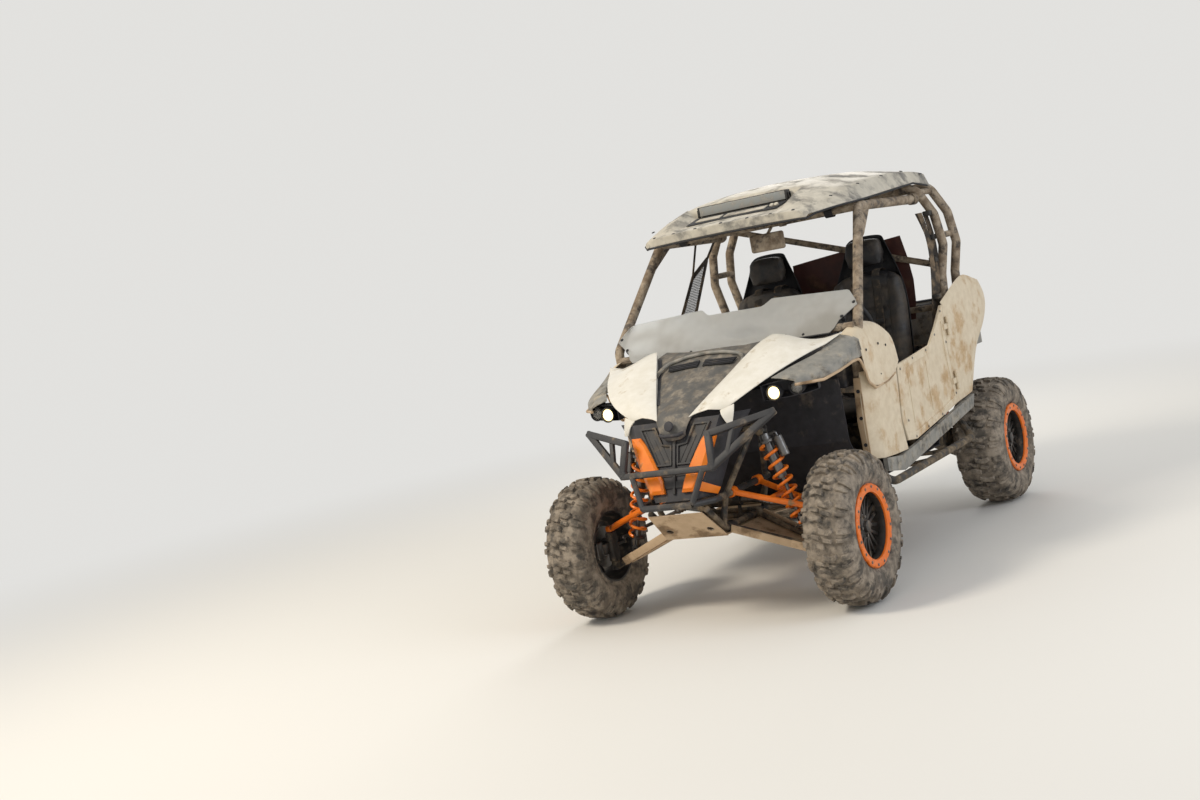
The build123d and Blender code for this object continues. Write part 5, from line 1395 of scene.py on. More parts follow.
# %% Roof
roof_rows = [
    [(0, -466, 1793), (160, -466, 1792), (300, -466, 1790), (334, -466, 1789), (446, -464, 1786),
     (460, -452, 1783)],
    [(0, -477, 1836), (160, -477, 1834), (300, -477, 1830), (334, -477, 1829), (448, -472, 1823),
     (472, -440, 1797)],
    [(0, -440, 1842), (160, -440, 1840), (296, -440, 1836), (336, -440, 1842), (450, -436, 1834),
     (492, -410, 1801)],
    [(0, -330, 1862), (150, -330, 1860), (284, -330, 1856), (338, -330, 1898), (450, -330, 1866),
     (538, -315, 1812)],
    [(0, -215, 1886), (150, -215, 1886), (278, -215, 1886), (340, -215, 1932), (488, -212, 1886),
     (570, -212, 1820)],
    [(0, -160, 1892), (150, -160, 1891), (276, -160, 1891), (342, -160, 1944), (503, -156, 1892),
     (579, -154, 1822)],
    [(0, -136, 1960), (150, -136, 1958), (276, -138, 1948), (346, -140, 1949), (507, -140, 1895),
     (582, -140, 1823)],
    [(0, -60, 1984), (150, -60, 1978), (300, -60, 1964), (352, -60, 1958), (528, -66, 1902),
     (592, -66, 1826)],
    [(0, 150, 2004), (150, 150, 1999), (310, 150, 1986), (360, 150, 1979), (556, 150, 1922),
     (602, 150, 1840)],
    [(0, 400, 2009), (150, 400, 2005), (320, 400, 1996), (370, 400, 1989), (566, 400, 1936),
     (606, 400, 1856)],
    [(0, 650, 2001), (150, 650, 1998), (330, 650, 1988), (384, 650, 1983), (584, 650, 1938),
     (620, 650, 1874)],
    [(0, 800, 1968), (150, 800, 1966), (330, 800, 1958), (390, 800, 1955), (602, 800, 1922),
     (634, 795, 1850)],
    [(0, 850, 1944), (150, 850, 1943), (330, 850, 1936), (392, 850, 1934), (610, 848, 1908),
     (640, 830, 1838)],
    [(0, 862, 1880), (150, 862, 1879), (330, 862, 1875), (392, 862, 1874), (604, 862, 1862),
     (640, 850, 1830)],
]
bm = bmesh.new()
sheet(bm, roof_rows, mirror=True)
piece(bm, "roof_shell", "roof_grey", ["roof"], smooth=2, wall=4.5, edge=1.2,
    crease=any_of(near_line(roof_rows[1], 4), near_line(column(roof_rows, 2)[2:7], 3),
    near_line(column(roof_rows, 3)[2:7], 3), near_line(roof_rows[6][:3], 3), near_line(roof_rows[5][:3], 3),
    near_line(column(roof_rows, 4)[6:], 4), near_line(roof_rows[12], 3)))

bm = bmesh.new()
# a dark sealing strip under the eave and the lip, and the clamps that hold the shell to the tubes
under = [(0, -462, 1787), (300, -462, 1784), (446, -460, 1780), (460, -446, 1777), (492, -404, 1795),
    (538, -312, 1806), (570, -210, 1814), (582, -138, 1817), (594, -40, 1822), (602, 300, 1842),
    (618, 640, 1866), (636, 800, 1842)]
for side in (-1, 1):
    tube(bm, rounded([(side * x, y, z) for x, y, z in under], 30), 5.5, sides=12)
for x, y, top in ((430, -92, 1810.3), (330, 680, 1865.3)):
    for side in (-1, 1):
        low = Vector((side * x, y, top))
        block(bm, low + Vector((-20, -12, 0.5)), low + Vector((20, 12, 34 if y > 0 else 18)), 3)
        turned(bm, low + Vector((-22, 0, -22)), (1, 0, 0), [(0, 24), (0, 27), (44, 27), (44, 24), (0, 24)],
            28)
piece(bm, "roof_trim", "grip_black", slot="dark_plastic")

bm = bmesh.new()
for x, y, z in ((0, -466, 1840), (150, -466, 1838), (280, -466, 1834), (400, -455, 1832), (520, -250, 1868),
        (560, 20, 1908), (580, 300, 1931), (592, 560, 1940), (612, 790, 1914), (120, 842, 1950),
        (380, 838, 1942)):
    for side in (-1, 1):
        turned(bm, (side * x, y, z - 3), (0.3 * side * (x > 450), -0.2 * (y < -400), 1),
            [(0, 9), (3, 9), (4.5, 6), (4.5, 0.01)], 16)
# a dark tray on the scoop's floor, in front of the lamp bar
plate(bm, [(-262, -352, 1857.5), (262, -352, 1857.5), (270, -204, 1889), (-270, -204, 1889)], (0, -0.5, 3),
    1)
piece(bm, "roof_screws", "grip_black", slot="dark_plastic")
bm = bmesh.new()
for x, wide in ((-150, 70), (62, 118)):
    # two pale strips lie in the tray
    plate(bm, [(x - wide, -318, 1868), (x + wide, -318, 1868), (x + wide, -262, 1880),
        (x - wide, -262, 1880)], (0, -0.5, 5), 1.5)
for x in (214, 240):
    turned(bm, (x, -290, 1874), (0, -0.6, 1), [(0, 12), (10, 12), (13, 8), (13, 0.01)], 20)
piece(bm, "roof_strips", "roof_grey")

# %% [markdown]
# The lamp bar in the scoop is a finned alloy case with two rows of small reflectors behind one clear lens.

# %% Lamp bar
bar_low, bar_high = Vector((-260, -198, 1896)), Vector((260, -152.5, 1945))
bm = bmesh.new()
block(bm, bar_low + Vector((0, 9, 0)), bar_high, 3)
for z in (1896.5, 1904, 1937, 1944):
    block(bm, (-260, -196, z), (260, -186, z + 2.4), 0.6)
for side in (-1, 1):
    block(bm, (side * 252, -199, 1895), (side * 262, -153, 1946), 3)
    turned(bm, (side * 262, -176, 1920), (side, 0, 0), [(-1, 12), (7, 12), (8, 10), (8, 0.01)], 20)
    plate(bm, [(side * 266, -190, 1893), (side * 270, -190, 1893), (side * 270, -190, 1932),
        (side * 266, -190, 1932)], (0, 26, 0), 1)
piece(bm, "bar_case", "frame_enamel", ["light_bar"], slot="lamp_bar")

bm = bmesh.new()
for row in (0, 1):
    for i in range(20):
        turned(bm, (-237.5 + 25 * i, -188, 1909.5 + 22 * row), (0, -1, 0),
            [(0, 0.01), (0, 3), (5, 8), (8, 10.5)], 12)
piece(bm, "bar_cells", "damper", slot="lamp_bar")

bm = bmesh.new()
block(bm, (-251, -198.5, 1898), (251, -194, 1943), 2)
piece(bm, "bar_lens", "bar_lens", slot="lamp_bar")

# %% [markdown]
# The half windscreen is a cut and bent sheet of polycarbonate, clamped to the pillars. Its outline is
# pushed out to 5 mm. A line bent into it across the top gives the pale strip that catches the light.

# %% Windscreen and mirror
screen_up = Vector((0, 467, 517)).normalized()
screen_out = Vector((0, -screen_up.z, screen_up.y))
screen_foot = Vector((0, -557, 1276)) + screen_out * 22.3 - screen_up * 106


def on_screen(x, up, out=0.0):
    """A point of the windscreen's plane: across, up the rake and out from it."""
    return screen_foot + Vector((x, 0, 0)) + screen_up * up + screen_out * out


outline = [(-558, 2), (558, 2), (582, 30), (600, 72), (650, 120), (684, 152), (668, 188), (630, 246),
    (616, 254), (212, 280), (198, 277), (166, 246), (148, 237), (-148, 237), (-166, 246), (-198, 277),
    (-212, 280), (-616, 254), (-630, 246), (-668, 188), (-684, 152), (-650, 120), (-600, 72), (-582, 30)]
bm = bmesh.new()
plate(bm, [on_screen(x, up, 0.2) for x, up in outline], screen_out * 4.6)
bmesh.ops.bisect_plane(bm, geom=whole(bm), plane_co=on_screen(0, 196), plane_no=(screen_up + Vector((0.03,
    0, 0))).normalized(), dist=0.01)
for v in bm.verts:
    over = (v.co - on_screen(0, 196)).dot(screen_up)
    if over > 0:
        v.co -= screen_out * over * 0.05
piece(bm, "screen_sheet", "clear_sheet", ["windscreen"], edge=0.9, angle=8)

bm = bmesh.new()
for side in (-1, 1):
    for x, up in ((664, 168), (612, 92)):
        spot = on_screen(side * x, up, 4.8)
        bolt(bm, spot, screen_out, 6, 3)
        turned(bm, on_screen(side * (x - 2), up, -24), screen_out, [(0, 12), (23, 12)], 16)
    tube(bm, [on_screen(side * 560, 2, 2), on_screen(side * 10, 2, 2)], 5, sides=8)
for x in (-420, -210, 210, 420):
    bolt(bm, on_screen(x, 18, 4.8), screen_out, 5, 3)
piece(bm, "screen_clamps", "grip_black", slot="dark_plastic")

bm = bmesh.new()
block(bm, (65, -319, 1655), (255, -292, 1745), 12, segments=4)
tube(bm, [(160, -305, 1730), (160, -200, 1790), (160, -114, 1790)], 8, bend=30)
turned(bm, (160, -92, 1790), (1, 0, 0), [(-16, 21), (-16, 25), (16, 25), (16, 21), (-16, 21)], 28)
piece(bm, "mirror_shell", "cage_enamel", ["cabin_mirror"], slot="dark_plastic")
bm = bmesh.new()
block(bm, (72, -293, 1662), (248, -290.5, 1738), 1)
piece(bm, "mirror_glass", "lens_clear", slot="lamp_glass")
print("nose, lamps, roof and glass done")

# %% [markdown]
# The seats are foam under vinyl. Each pad starts as a small cage: a front surface with raised side
# bolsters, pushed back to a closed form. A fine remesh and a short cloth simulation with air pressure
# inside swell it between its edges, as a cover stretched over foam does. The sewn channels are pressed in
# afterwards, since a remesh would lose them. One seat is made, and its mirror image is the other.

# %% Padding
seat_x = 300


def swell(bm, name, cap_mm):
    """Blow a closed mesh up a little with cloth pressure, and return the result as a mesh in millimetres."""
    bmesh.ops.remove_doubles(bm, verts=bm.verts, dist=0.01)
    bmesh.ops.recalc_face_normals(bm, faces=bm.faces)
    bmesh.ops.scale(bm, vec=(0.001,) * 3, verts=bm.verts)
    mesh = bpy.data.meshes.new(name)
    bm.to_mesh(mesh)
    bm.free()
    pad = bpy.data.objects.new(name, mesh)
    bpy.context.scene.collection.objects.link(pad)
    remesh = pad.modifiers.new("remesh", "REMESH")
    remesh.mode = "VOXEL"
    remesh.voxel_size = 0.006
    bpy.context.view_layer.update()
    fine = bpy.data.meshes.new_from_object(pad.evaluated_get(bpy.context.evaluated_depsgraph_get()))
    pad.modifiers.clear()
    pad.data = fine
    before = [v.co.copy() for v in fine.vertices]
    cloth = pad.modifiers.new("cloth", "CLOTH")
    cloth.settings.use_pressure = True
    cloth.settings.uniform_pressure_force = 4
    cloth.settings.effector_weights.gravity = 0
    for frame_number in range(1, 13):
        bpy.context.scene.frame_set(frame_number)
    blown = bpy.data.meshes.new_from_object(pad.evaluated_get(bpy.context.evaluated_depsgraph_get()))
    bpy.context.scene.frame_set(1)
    for v, old in zip(blown.vertices, before):
        moved = v.co - old
        if moved.length > cap_mm / 1000:
            v.co = old + moved.normalized() * (cap_mm / 1000)
    pad.modifiers.clear()
    pad.data = blown
    made = bmesh.new()
    made.from_mesh(pad.data)
    bpy.data.objects.remove(pad)
    for _ in range(3):
        bmesh.ops.smooth_vert(made, verts=made.verts, factor=0.5, use_axis_x=True, use_axis_y=True,
            use_axis_z=True)
    bmesh.ops.scale(made, vec=(1000,) * 3, verts=made.verts)
    return made


# pad name: rows of the front surface in x from the seat's middle, y, z, then the push back and the channels
pads = {
    "seat_cushion": ([
        [(0, -22, 786), (104, -22, 786), (134, -22, 790), (178, -20, 796), (202, -16, 778)],
        [(0, 22, 800), (104, 22, 800), (136, 22, 806), (176, 22, 816), (206, 22, 794)],
        [(0, 180, 780), (104, 180, 782), (136, 180, 800), (178, 180, 812), (208, 180, 790)],
        [(0, 330, 764), (104, 330, 766), (136, 330, 786), (178, 330, 798), (206, 330, 780)],
        [(0, 366, 762), (104, 366, 764), (134, 366, 772), (172, 366, 778), (198, 366, 766)],
    ], (0, 2, -72), "y", (60, 140, 220, 300)),
    "seat_back": ([
        [(0, 408, 806), (104, 406, 806), (134, 398, 806), (182, 380, 808), (206, 388, 808)],
        [(0, 430, 920), (104, 428, 920), (136, 414, 920), (188, 386, 920), (214, 398, 920)],
        [(0, 464, 1100), (104, 462, 1100), (136, 448, 1100), (190, 416, 1100), (216, 430, 1100)],
        [(0, 500, 1280), (104, 498, 1280), (136, 486, 1280), (188, 458, 1280), (212, 470, 1280)],
        [(0, 522, 1392), (104, 520, 1392), (134, 514, 1392), (168, 502, 1390), (188, 512, 1388)],
        [(0, 532, 1430), (84, 532, 1430), (112, 531, 1427), (138, 528, 1420), (152, 532, 1412)],
    ], (0, 78, -9), "z", (900, 1010, 1120, 1230, 1340)),
    "seat_head": ([
        [(0, 532, 1468), (66, 532, 1468), (94, 538, 1470)],
        [(0, 530, 1530), (76, 530, 1530), (108, 540, 1530)],
        [(0, 538, 1592), (70, 538, 1592), (98, 546, 1588)],
        [(0, 546, 1612), (62, 546, 1612), (86, 554, 1606)],
    ], (0, 56, 0), "z", ()),
}
for name, (rows, push, axis, channels) in pads.items():
    bm = bmesh.new()
    sheet(bm, rows, mirror=True)
    bmesh.ops.remove_doubles(bm, verts=bm.verts, dist=0.01)
    push_out(bm, bm.faces[:], push)
    blown = swell(bm, name, 12)
    sewn = Vector(push).normalized()
    for v in blown.verts:
        along = v.co.y if axis == "y" else v.co.z
        if channels and v.normal.dot(sewn) < 0.2:
            near = min(abs(along - c) for c in channels) if abs(v.co.x) < 128 else 99
            v.co += sewn * (6 * math.exp(-(near / 9) ** 2) + 5 * math.exp(-((abs(v.co.x) - 130) / 7) ** 2))
    held = bpy.data.meshes.new(name)
    blown.to_mesh(held)
    blown.free()
    for side, suffix in ((1, "left"), (-1, "right")):
        bm = bmesh.new()
        bm.from_mesh(held)
        bmesh.ops.translate(bm, vec=(seat_x * side, 0, 0), verts=bm.verts)
        pad = piece(bm, f"{name}_{suffix}", "seat_vinyl", ["seats"] if name == "seat_back" and side == 1
            else (), angle=180)
print("pads:", 2 * len(pads))

# %% [markdown]
# Behind each pad stands a moulded shell, with slots for the harness between the back and the headrest. It
# sits on a stand with two slide rails.

# %% Seat shells and stands
shell_rows = [
    [(0, 506, 716), (120, 504, 716), (190, 488, 720), (222, 462, 726)],
    [(0, 532, 860), (130, 530, 860), (200, 504, 860), (231, 446, 866)],
    [(0, 578, 1100), (136, 576, 1100), (204, 552, 1100), (232, 486, 1106)],
    [(0, 614, 1280), (130, 612, 1280), (198, 590, 1282), (226, 530, 1286)],
    [(0, 636, 1440), (110, 634, 1440), (158, 622, 1436), (184, 574, 1420)],
    [(0, 638, 1560), (84, 637, 1560), (118, 628, 1552), (132, 600, 1540)],
    [(0, 630, 1634), (70, 629, 1630), (100, 620, 1620), (112, 598, 1600)],
]
bm = bmesh.new()
sheet(bm, shell_rows, mirror=True)
bmesh.ops.translate(bm, vec=(seat_x, 0, 0), verts=bm.verts)
twin(bm)
piece(bm, "seat_shells", "grip_black", slot="dark_plastic", **skin)

bm = bmesh.new()
for side in (-1, 1):
    for x in (-160, 160):
        block(bm, (side * seat_x + x - 18, 6, 460), (side * seat_x + x + 18, 416, 478), 3)
        for y in (40, 380):
            block(bm, (side * seat_x + x - 12, y - 24, 478), (side * seat_x + x + 12, y + 24, 684), 4)
    block(bm, (side * seat_x - 180, -2, 668), (side * seat_x + 180, 424, 686), 5)
    tube(bm, [(side * seat_x - 120, -16, 560), (side * seat_x - 120, -44, 546),
        (side * seat_x + 120, -44, 546), (side * seat_x + 120, -16, 560)], 7, 20)
    block(bm, (side * seat_x - 180, 30, 474), (side * seat_x + 180, 34, 676), 1)
piece(bm, "seat_stands", "frame_enamel", ["seat_bases"], slot="dark_plastic")

# %% [markdown]
# The harness is flat polyester webbing, modelled directly: a strip two points wide that follows its route
# down over the seat, with a wall of 2 mm. The buckle lies where the straps meet.

# %% Harness webbing


def strap(bm, route, width, across=(1, 0, 0)):
    """A flat strip of webbing along a route."""
    half = Vector(across) * width / 2
    sheet(bm, [[Vector(p) - half, Vector(p), Vector(p) + half] for p in route])


bm = bmesh.new()
for side in (-1, 1):
    for x in (-62, 62):
        middle = side * seat_x
        strap(bm, [(middle + x * 0.9, 658, 1420), (middle + x, 600, 1449), (middle + x, 530, 1448),
            (middle + x, 508, 1400), (middle + x * 1.1, 484, 1280), (middle + x * 1.15, 452, 1120),
            (middle + x * 0.9, 418, 960), (middle + x * 0.35, 380, 850)], 46)
    for end in (-1, 1):
        strap(bm, [(middle + end * 222, 372, 812), (middle + end * 180, 344, 838),
            (middle + end * 90, 340, 818), (middle + end * 26, 350, 822)], 44, (0, 0.62, 0.78))
# straps that hang beside the driver from the hoop
for y, sway in ((640, 14), (610, -16), (574, 10)):
    strap(bm, [(640 + sway, y, 1700), (676, y + sway, 1560), (676 + sway * 0.4, y - sway, 1420),
        (664, y - 10, 1300), (652, y - 30, 1180), (640, y - 44, 1060)], 38, (0.3, 0.95, 0))
piece(bm, "harness", "webbing", slot="seat_vinyl", smooth=2, wall=2.2)

bm = bmesh.new()
for side in (-1, 1):
    block(bm, (side * seat_x - 32, 338, 824), (side * seat_x + 32, 380, 850), 6, segments=3)
    for x in (-66, 66):
        block(bm, (side * seat_x + x - 28, 446, 1150), (side * seat_x + x + 28, 456, 1176), 3)
for y, z in ((640, 1690), (612, 1440), (566, 1240), (640, 1560)):
    block(bm, (650, y - 24, z - 14), (690, y + 24, z + 14), 4)
piece(bm, "harness_buckles", "frame_enamel", slot="steel")

# %% [markdown]
# A net hangs in the far side's window, stretched in a frame of webbing by its corner straps. The net is one
# thin sheet whose holes are cut by the material, since its threads are too many for mesh.

# %% Window net
net_mm = 9
netting = bpy.data.materials.new("nylon_net")
netting.use_nodes = True
tree = netting.node_tree
shade = tree.nodes["Principled BSDF"]
shade.inputs["Base Color"].default_value = linear("#15171b")
shade.inputs["Roughness"].default_value = 0.7
threads = node(tree, "UVMap")
lattice = node(tree, "TexVoronoi", {"feature": "DISTANCE_TO_EDGE"}, Vector=threads.outputs[0],
    Scale=1000 / net_mm, Randomness=0.15)
tree.links.new(ramp(tree, lattice.outputs["Distance"], (0.20, 1), (0.24, 0)), shade.inputs["Alpha"])
paints["nylon_net"] = netting

corners = [Vector(p) for p in ((-652, -60, 1205), (-664, 170, 1225), (-636, 498, 1672), (-626, 274, 1586))]
bm = bmesh.new()
rows = []
for i in range(9):
    t = i / 8
    a, b = corners[0].lerp(corners[3], t), corners[1].lerp(corners[2], t)
    rows.append([a.lerp(b, j / 6) + Vector((-7 * math.sin(math.pi * t) * math.sin(math.pi * j / 6), 0, 0))
        for j in range(7)])
sheet(bm, rows)
layer = bm.loops.layers.uv.new("threads")
for face in bm.faces:
    for loop in face.loops:
        loop[layer].uv = (loop.vert.co.y / 1000, loop.vert.co.z / 1000)
net_area = sum(f.calc_area() for f in bm.faces) / 1e6
net = piece(bm, "window_net", "nylon_net", slot="seat_vinyl", angle=180)
bm = bmesh.new()
ring = corners + corners[:1]
for a, b in zip(ring, ring[1:]):
    strap(bm, [a, a.lerp(b, 0.5), b], 26, tuple((b - a).normalized().cross(Vector((1, 0, 0)))))
for a, b in ((corners[3], (-600, 330, 1766)), (corners[2], (-603, 560, 1764)),
        (corners[0], (-654, -300, 1215)), (corners[1], (-664, 640, 1190))):
    b = Vector(b)
    strap(bm, [a, a.lerp(b, 0.5), b], 20, tuple((b - a).normalized().cross(Vector((1, 0, 0)))))
border = piece(bm, "net_webbing", "webbing", slot="seat_vinyl", wall=2.0)

# %% [markdown]
# The dash is a moulding with rolled edges. Its profile is pushed across the cabin and bevelled. A hood
# shades the round gauge in front of the driver, a lid covers the glove box, and a grab bar runs before the
# passenger.

# %% Dash
bm = bmesh.new()
plate(bm, [(-598, -638, 1211), (-598, -560, 1211), (-598, -335, 1189), (-598, -274, 1122),
    (-598, -292, 1002), (-598, -420, 942), (-598, -638, 942)], (1196, 0, 0), 14, 3)
plate(bm, [(170, -500, 1196), (170, -330, 1188), (170, -300, 1212), (170, -320, 1236), (170, -430, 1228)],
    (260, 0, 0), 12, 3)
for x, wide in ((-450, 300), (-70, 130), (90, 90)):
    plate(bm, [(x, -279, 1112), (x + wide, -279, 1112), (x + wide, -294, 1014), (x, -294, 1014)],
        (0, 6, -1), 3)
block(bm, (-62, -440, 470), (62, -150, 700), 16, segments=3)
block(bm, (-50, -430, 690), (50, -290, 960), 12, segments=3)
steer_axis = Vector((0, 390, 160)).normalized()
turned(bm, (300, -300, 1030), steer_axis, [(0, 34), (60, 34), (70, 30), (340, 29), (371, 24)], 32)
piece(bm, "dash_shell", "dark_plastic", ["dash"])

bm = bmesh.new()
turned(bm, (300, -298, 1208), steer_axis, [(-6, 0.01), (-6, 42), (4, 44), (6, 40), (2, 38), (2, 0.01)], 36)
for x in (-70, -35, 0, 35):
    block(bm, (x - 12, -282, 1070), (x + 12, -273, 1092), 2)
for x in (-560, 500):
    turned(bm, (x + 30, -276, 1066), (0, 1, -0.1), [(0, 30), (8, 30), (10, 26), (4, 22), (4, 0.01)], 28)
tube(bm, [(-470, -280, 1130), (-470, -230, 1150), (-170, -230, 1150), (-170, -280, 1130)], 11, 30)
tube(bm, [(0, -220, 700), (0, -236, 790)], 8)
turned(bm, (0, -238, 786), (0, -0.15, 1), [(0, 0.01), (2, 14), (20, 19), (34, 14), (38, 0.01)], 24)
for x, y in ((250, -545), (350, -545)):
    block(bm, (x - 24, y, 560), (x + 24, y + 10, 640), 3)
    tube(bm, [(x, y, 640), (x, y - 40, 760)], 6)
piece(bm, "dash_fittings", "grip_black", slot="dark_plastic")

bm = bmesh.new()
for side in (-1, 1):
    block(bm, (side * seat_x - 200, -520, 461), (side * seat_x + 200, -30, 467), 2)
    for i in range(12):
        block(bm, (side * seat_x - 190, -505 + 38 * i, 466), (side * seat_x + 190, -495 + 38 * i, 470), 1.5)
piece(bm, "floor_mats", "grip_black", slot="dark_plastic")

# %% [markdown]
# The steering wheel is a spun ring with three spokes and a padded boss, and it turns on the column.

# %% Steering wheel
hub = Vector((300, 90, 1190))
down = steer_axis.cross(Vector((1, 0, 0)))
bm = bmesh.new()
turned(bm, hub, steer_axis, [(13 * math.sin(math.radians(a)), 170 + 13 * math.cos(math.radians(a)))
    for a in range(0, 361, 30)], 64)
turned(bm, hub, steer_axis, [(-48, 0.01), (-48, 30), (-14, 33), (-4, 46), (6, 46), (12, 38), (15, 24),
    (16, 0.01)], 40)
for way in (Vector((1, 0, 0)), Vector((-1, 0, 0)), down):
    aside = way.cross(steer_axis)
    a, b = hub + way * 34, hub + way * 162
    plate(bm, [a - aside * 16 - steer_axis * 8, a + aside * 16 - steer_axis * 8,
        b + aside * 11.2 - steer_axis * 3, b - aside * 11.2 - steer_axis * 3], steer_axis * 9, 3)
piece(bm, "hand_wheel", "grip_black", ["steering_wheel"], "steering_wheel")

# %% [markdown]
# A dark red-brown panel closes the back of the cabin behind the seats. It is a ribbed sheet of plastic,
# screwed to the bar across the hoop.

# %% Rear cabin panel
bm = bmesh.new()
sheet(bm, [[(-210, 700, 1120), (0, 702, 1120), (230, 702, 1120), (480, 700, 1130)],
    [(-210, 702, 1320), (0, 706, 1320), (230, 706, 1330), (520, 702, 1340)],
    [(-200, 700, 1540), (0, 702, 1560), (230, 702, 1580), (470, 700, 1600)]])
piece(bm, "cabin_panel", "oxblood", slot="dark_plastic", smooth=1, wall=4, edge=1)
print("cabin done")

# %% [markdown]
# The cargo bed is a deep tray. A thin wall comes from a solidify modifier over an open box, ribs stiffen
# the floor and the sides, and a rolled rim and a latched tailgate finish it.

# %% Cargo bed
bm = bmesh.new()
bed = [(-599, 914, 891), (599, 914, 891), (599, 1364, 891), (-599, 1364, 891)]
verts = [bm.verts.new(p) for p in bed]
bm.faces.new(verts)
made = bmesh.ops.extrude_edge_only(bm, edges=bm.edges[:])["geom"]
bmesh.ops.translate(bm, vec=(0, 0, 297), verts=points_in(made))
piece(bm, "bed_tray", "body_grey", ["cargo_bed"], slot="dark_plastic", wall=4, edge=2)

bm = bmesh.new()
for side in (-1, 1):
    for y in (960, 1050, 1140, 1230, 1320):
        block(bm, (side * 594.5, y - 14, 900), (side * 587, y + 14, 1176), 2)
    tube(bm, [(side * 594, 918, 1184), (side * 594, 1362, 1184)], 7)
    block(bm, (side * 430 - 24, 1352, 1090), (side * 430 + 24, 1365, 1176), 3)
    turned(bm, (side * 430, 1358, 1120), (0, 1, 0), [(0, 14), (7, 14), (7, 0.01)], 20)
tube(bm, [(-594, 1360, 1184), (594, 1360, 1184)], 7)
tube(bm, [(-594, 918, 1184), (594, 918, 1184)], 7)
for x in range(-500, 501, 100):
    if abs(abs(x) - 450) > 30:
        block(bm, (x - 16, 930, 893), (x + 16, 1350, 899), 2)
plate(bm, [(-380, 1363, 930), (380, 1363, 930), (400, 1363, 1060), (-400, 1363, 1060)], (0, 3.5, 0), 2)
piece(bm, "bed_ribs", "dark_plastic")

bm = bmesh.new()
for side in (-1, 1):
    block(bm, (side * 520 - 46, 1336, 1089), (side * 520 + 46, 1362, 1151), 4)
piece(bm, "tail_housings", "grip_black", slot="dark_plastic")
bm = bmesh.new()
for side in (-1, 1):
    block(bm, (side * 520 - 42, 1358, 1093), (side * 520 + 42, 1366, 1147), 5, segments=3)
    for i in range(6):
        block(bm, (side * 520 - 38, 1365, 1097 + 8 * i), (side * 520 + 38, 1366.8, 1101 + 8 * i), 0.7)
piece(bm, "tail_lenses", "tail_red", ["tail_lamps"])

# %% [markdown]
# The engine sits between the rear rails: a split crankcase, two finned cylinders in a V, a belt cover on
# one side and a round clutch cover on the other. Its fins are thin plates, repeated with a loop.

# %% Engine and exhaust
bm = bmesh.new()
block(bm, (-120, 760, 456), (120, 1120, 640), 22, segments=3)
block(bm, (-124, 800, 540), (124, 1080, 552), 3)
for tilt, y in ((-28, 860), (28, 1020)):
    place = Matrix.Translation((0, y, 620)) @ Matrix.Rotation(math.radians(-tilt), 4, "X")
    block(bm, (-62, -62, 0), (62, 62, 150), 10, place)
    for i in range(8):
        block(bm, (-84, -80, 16 + 14 * i), (84, 80, 21 + 14 * i), 2, place, 1)
    block(bm, (-70, -66, 134), (70, 66, 206), 14, place, 3)
turned(bm, (120, 960, 560), (1, 0, 0), [(0, 92), (20, 92), (34, 84), (40, 60), (40, 0.01)], 40)
turned(bm, (-120, 860, 560), (-1, 0, 0), [(0, 90), (46, 90), (58, 78), (58, 0.01)], 40)
turned(bm, (-120, 1040, 560), (-1, 0, 0), [(0, 102), (46, 102), (58, 88), (58, 0.01)], 40)
block(bm, (-176, 850, 480), (-124, 1050, 650), 16, segments=3)
block(bm, (-150, 990, 470), (176, 1090, 590), 18, segments=3)
for x, y, z in ((60, 760, 480), (-60, 760, 480), (60, 760, 620), (-60, 760, 620)):
    bolt(bm, (x, y, z), (0, -1, 0), 7, 4)
for i in range(8):
    a = math.radians(45 * i)
    bolt(bm, (141, 960 + 84 * math.cos(a), 560 + 84 * math.sin(a)), (1, 0, 0), 5, 3)
piece(bm, "engine_case", "engine_alloy", ["engine_block"])

bm = bmesh.new()
block(bm, (-150, 820, 790), (150, 1060, 850), 20, segments=3)
tube(bm, [(-90, 880, 800), (-90, 880, 720), (-40, 860, 690)], 26, 40)
tube(bm, [(90, 1000, 800), (90, 1000, 730), (40, 1010, 700)], 26, 40)
tube(bm, [(-150, 960, 700), (-178, 960, 640), (-170, 960, 600)], 24, 40)
piece(bm, "air_box", "dark_plastic")

bm = bmesh.new()
turned(bm, (-240, 1330, 720), (1, 0, 0), [(0, 0.01), (0, 60), (10, 74), (18, 79), (462, 79), (470, 74),
    (480, 60), (480, 0.01)], 48)
for h in (30, 120, 240, 360, 450):
    turned(bm, (-240 + h - 8, 1330, 720), (1, 0, 0), [(0, 79), (0, 80.6), (16, 80.6), (16, 79)], 48)
tube(bm, [(236, 1330, 720), (262, 1356, 720), (280, 1440, 720)], 27, 30)
turned(bm, (279, 1434, 720), (0.1, 1, 0), [(0, 27), (0, 30), (10, 30), (10, 25), (-60, 25)], 32)
tube(bm, [(-60, 1120, 690), (-60, 1200, 690), (-120, 1262, 700)], 22, 50)
for x in (-150, 150):
    block(bm, (x - 15, 1306.5, 530), (x + 15, 1313.5, 650), 1.5)
piece(bm, "silencer", "exhaust_steel", ["muffler"])

# %% [markdown]
# Each trailing arm is a welded plate box that carries a rear spindle. Its outline is pushed out to 50 mm,
# the outer face is inset and sunk like a stamped panel, and the bushes at its ends are turned. Round links
# hold it sideways.

